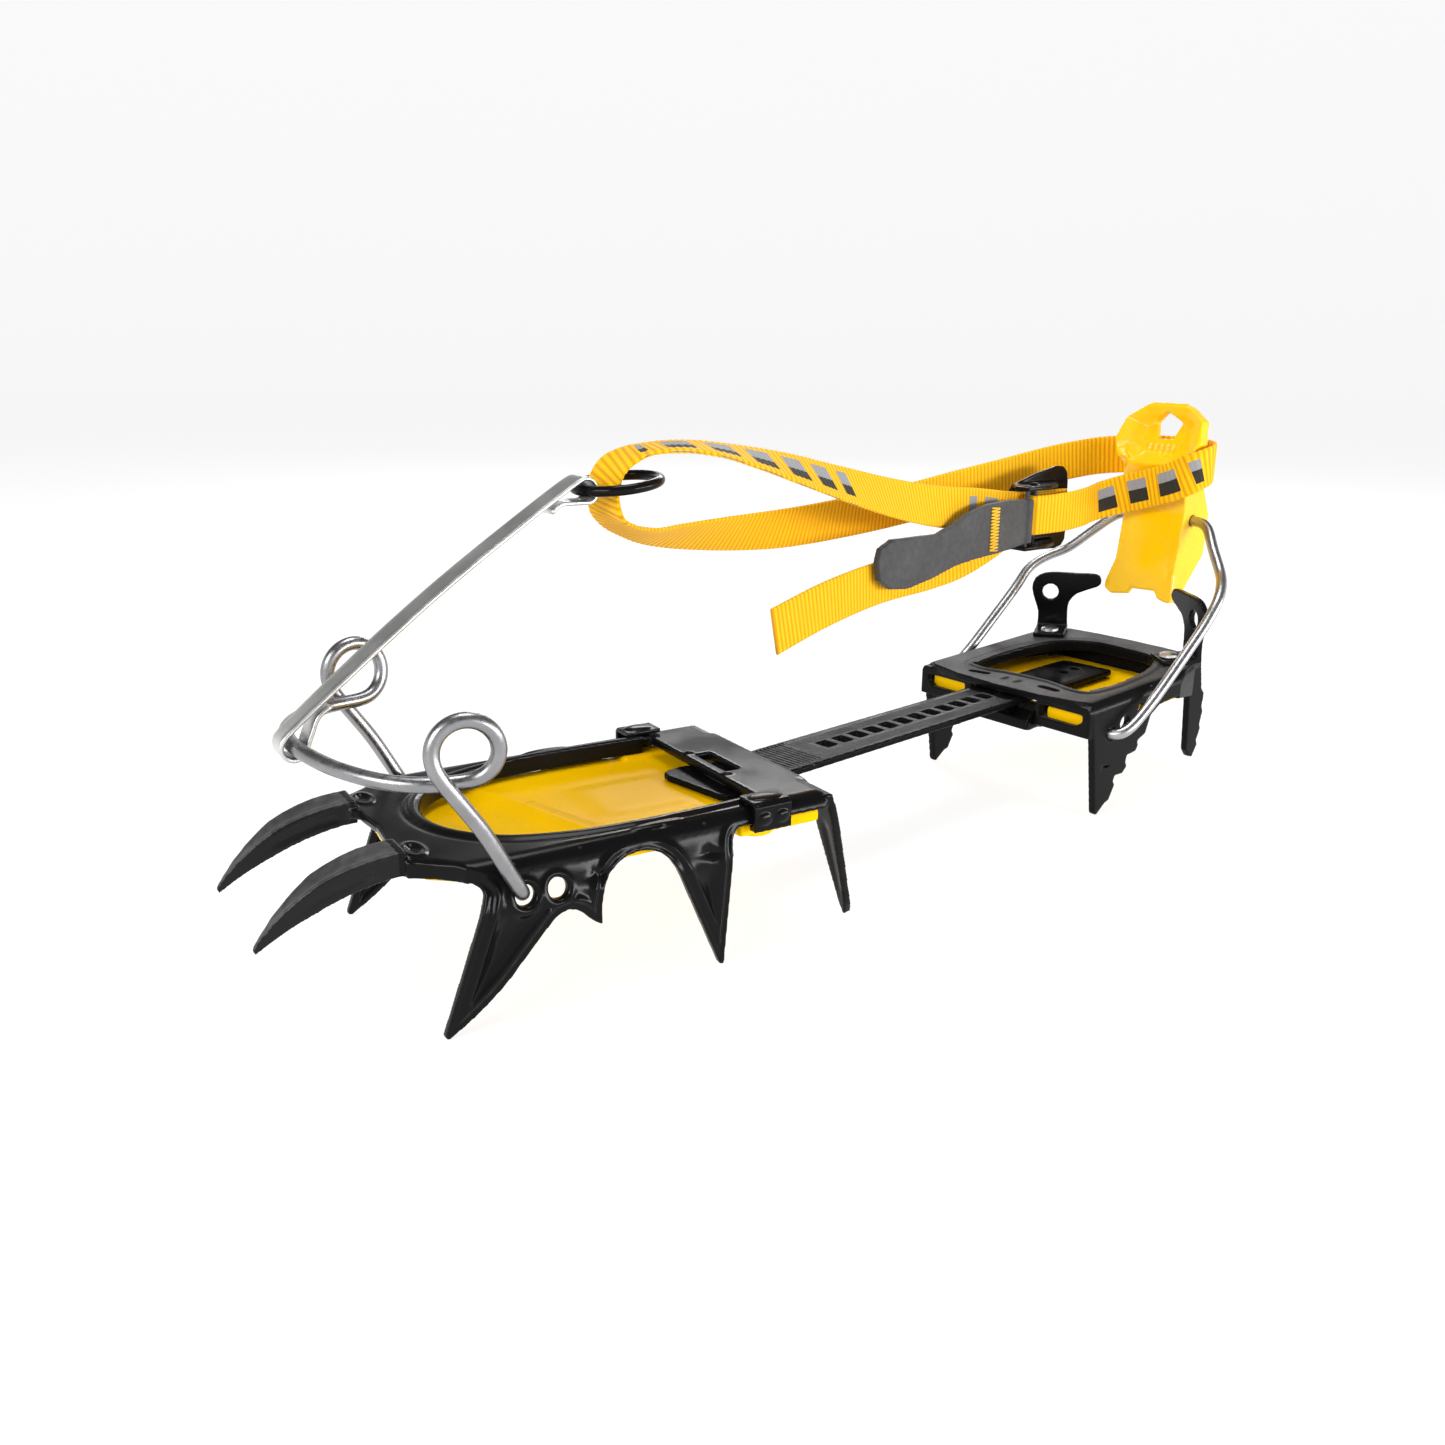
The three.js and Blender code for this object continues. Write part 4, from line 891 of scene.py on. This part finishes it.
STRAP_TAIL = [
    (-19.6, 52.2, 101.8, *UP), (-19.2, 53.4, 101.8, *UP), (-18.6, 52.2, 101.8, *UP), (-18.4, 46, 101.5, *UP),
    (-18.3, 34, 100.8, *UP), (-16.8, 24, 99.8, *UP), (-14.8, 17, 99, *UP), (-13.2, 4, 94.5, *UP),
    (-11.8, -14, 89.6, *UP), (-10.7, -30, 87.6, *UP), (-6, -60.6, 86.8, *UP), (3, -95, 84.6, 0, -0.2, 1),
    (9, -121.5, 80.4, 0, -0.28, 0.96)]


def sewn_end():
    x, y = BUCKLE_BAR
    fold = STRAP_THICK / 2 + 1.5 + GAP
    arc = [(x + fold * math.cos(rad(a)), y - fold * math.sin(rad(a)), 101.6) for a in (0, 45, 90, 135, 180)]
    return [(x + fold, 44, 101.6), (x + fold, y + 2, 101.6), *arc, (x - fold, y + 2, 101.6),
            (x - fold, y + 16, 101.6)]


def webbing(name, zones=(), turned_from=9.0):
    """Ribbed polyester webbing. zones are (from, to) along it, in metres, that carry woven dashes, grey over
    black; past turned_from the band's other edge is the upper one."""
    look = Look(name, (0.9, 0.45, 0.0), 0.75, Sheen_Weight=0.1, Sheen_Roughness=0.4,
                Specular_IOR_Level=0.2)
    parts = look.node("SeparateXYZ", {"Vector": look.node("UVMap").outputs["UV"]})
    u = look.math("FRACT", parts.outputs["X"])
    v = parts.outputs["Y"]
    rib = look.math("COSINE", look.math("MULTIPLY", v, 2 * math.pi / (RIB_PITCH * MM)))
    # painted shade: the grooves between the ribs are coloured a darker orange than the crests
    painted_rib_shade = look.spread(rib, -0.9, 0.5)
    ends = look.math("SINE", look.math("MULTIPLY", u, 2 * math.pi * 26))
    pick = look.math("SINE", look.math("MULTIPLY_ADD", v, 2 * math.pi / (0.5 * MM),
                                       look.math("MULTIPLY", u, 82)))
    weave = look.math("MULTIPLY", ends, pick)
    color = look.mix(painted_rib_shade, (0.76, 0.33, 0.0), (1.0, 0.57, 0.0))
    color = look.mix(look.spread(look.noise(60, 3), 0.55, 1.0), color, (0.9, 0.45, 0.0))
    if zones:
        inside = None
        for low, high in zones:
            span = look.math("MULTIPLY", look.math("GREATER_THAN", v, low), look.math("LESS_THAN", v, high))
            inside = span if inside is None else look.math("MAXIMUM", inside, span)
        pitch = 7 * RIB_PITCH * MM
        cell = look.math("FRACT", look.math("DIVIDE", v, pitch))
        dash = look.math("LESS_THAN", cell, 0.6)
        lower = look.math("MULTIPLY", look.math("GREATER_THAN", u, 0.2), look.math("LESS_THAN", u, 0.8))
        mark = look.math("MULTIPLY", look.math("MULTIPLY", dash, lower), inside)
        turned = look.math("GREATER_THAN", v, turned_from)
        half = look.math("ABSOLUTE", look.math("SUBTRACT", look.math("GREATER_THAN", u, 0.46), turned))
        grain = look.spread(weave, -0.6, 0.6)
        grey = look.mix(grain, (0.20, 0.20, 0.21), (0.42, 0.42, 0.44))
        black = look.mix(grain, (0.012, 0.012, 0.013), (0.05, 0.045, 0.03))
        color = look.mix(mark, color, look.mix(half, black, grey))
    look.feed("Base Color", color)
    look.feed("Roughness", look.spread(weave, -1, 1, 0.62, 0.85))
    look.feed("Normal", look.bump(weave, 0.06, 0.6, look.bump(rib, 0.05, 0.4)))
    return look.material


def ankle_strap():
    stations = NEAR_LEG + FAR_LEG + [(*p, *DOWNWARD) for p in ROUND_LEVER + sewn_end()]
    strap, path, marks = ribbon("ankle_strap_webbing", stations, STRAP_WIDTH, STRAP_THICK, DESIGN,
                                RIB_PITCH / 6, RIB_PITCH, RIB_DEPTH)

    def along(x, y, z):
        """How far along the strap its nearest point to (x, y, z) is, in metres."""
        return float(marks[np.argmin(np.linalg.norm(path[:, :3] - (x, y, z), axis=1))]) * MM
    zones = ((along(-18.5, 12, 104), along(-15.5, -8, 106.6)), (along(4, -86, 122), along(1, -166, 136.4)),
             (along(20, 84, 118), along(-14.6, 66, 103)))
    finished(strap, None, webbing("strap_webbing", zones, zones[2][0]), "yellow_webbing", "strap_lever_wrap",
             "strap_buckle_run", "strap_near_leg", "strap_front_loop", "strap_far_leg")
    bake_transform(strap)

    tail, _, tail_marks = ribbon("strap_tail_webbing", STRAP_TAIL, STRAP_WIDTH, STRAP_THICK - 0.1, DESIGN,
                                 RIB_PITCH / 6, RIB_PITCH, RIB_DEPTH)
    finished(tail, "heel_lever", webbing("tail_webbing"), "yellow_webbing", "strap_tail")


# ---- buckle and pull tab -------------------------------------------------------------------
finished(skin("buckle_plate", ["buckle_frame"], 0.33, 3), "heel_lever", black_steel, "black_steel",
         "buckle_frame")
ankle_strap()

TAB = (DESIGN @ Matrix.Translation(Vector((-12.2, 21.4, 0)) * MM) @ Matrix.Rotation(rad(7), 4, "Z")
       @ Matrix.Translation(Vector((0, -20, 0)) * MM))


def pull_tab():
    obj = skin("pull_tab_moulded", ["pull_tab"], 0.45, 5)
    finished(obj, "pull_tab", grey_rubber, "grey_rubber", "pull_tab")
    rows = 14
    zigzag = []
    for i in range(rows * 2):
        y = -5.9 if i % 2 else -0.7
        zigzag.append((1.62, y, 91.2 + 16 * i / (rows * 2 - 1)))
    stitches = tube("pull_tab_tack", zigzag, 0.6, TAB, 0.3, 8)
    finished(stitches, "pull_tab", yellow_thread, "thread", "pull_tab_stitching")


pull_tab()


# ---- small hardware that stays as it was drawn ---------------------------------------------
def keep(name, material, width=0.0):
    obj = nodes[name]
    obj.data.materials.clear()
    obj.data.materials.append(material)
    if width:
        bevel = obj.modifiers.new("edges", "BEVEL")
        bevel.width = width * MM
        bevel.segments = 3
        bevel.limit_method = "ANGLE"
        bevel.angle_limit = rad(35)


for name in ("post_rivet_outer", "post_rivet_inner"):
    keep(name, bright_wire, 0.25)
keep("latch_pin", grey_wire, 0.2)
for name in ("buckle_bar", "buckle_tab_pin"):
    keep(name, black_steel, 0.2)

# ---- floor ---------------------------------------------------------------------------------
FLOOR_RADIUS, WALL_START, WALL_HEIGHT, WALL_LIT = 6.0, 3.4, 4.6, 1.62


def studio_floor():
    """A pale floor that sweeps up all round, so that no horizon shows."""
    turns = 2 * np.pi * np.arange(96) / 96
    rings = []
    for radius in (0.02, 0.5, 1.0, 2.0, WALL_START):
        rings.append((radius, 0.0))
    for t in np.linspace(0, 1, 19)[1:]:
        rings.append((WALL_START + (FLOOR_RADIUS - WALL_START) * math.sin(t * math.pi / 2),
                      WALL_HEIGHT * (1 - math.cos(t * math.pi / 2))))
    points = np.array([[(r * math.cos(a), r * math.sin(a), z - 0.0002) for a in turns] for r, z in rings])
    floor = loft("studio_floor", points, capped=False)
    centre = bmesh.new()
    centre.from_mesh(floor.data)
    centre.verts.ensure_lookup_table()
    centre.faces.new([centre.verts[i] for i in range(96)])
    bmesh.ops.recalc_face_normals(centre, faces=centre.faces)
    centre.to_mesh(floor.data)
    centre.free()
    smooth_faces(floor.data)
    look = Look("pale_floor", (0.27, 0.27, 0.27), 0.9, Specular_IOR_Level=0.0)
    look.set("Emission Color", (1, 1, 1, 1))
    height = look.node("SeparateXYZ", {"Vector": look.node("NewGeometry").outputs["Position"]})
    look.feed("Emission Strength", look.spread(height.outputs["Z"], WALL_LIT, WALL_LIT + 0.3, 0.84, 0.06))
    floor.data.materials.append(look.material)


studio_floor()
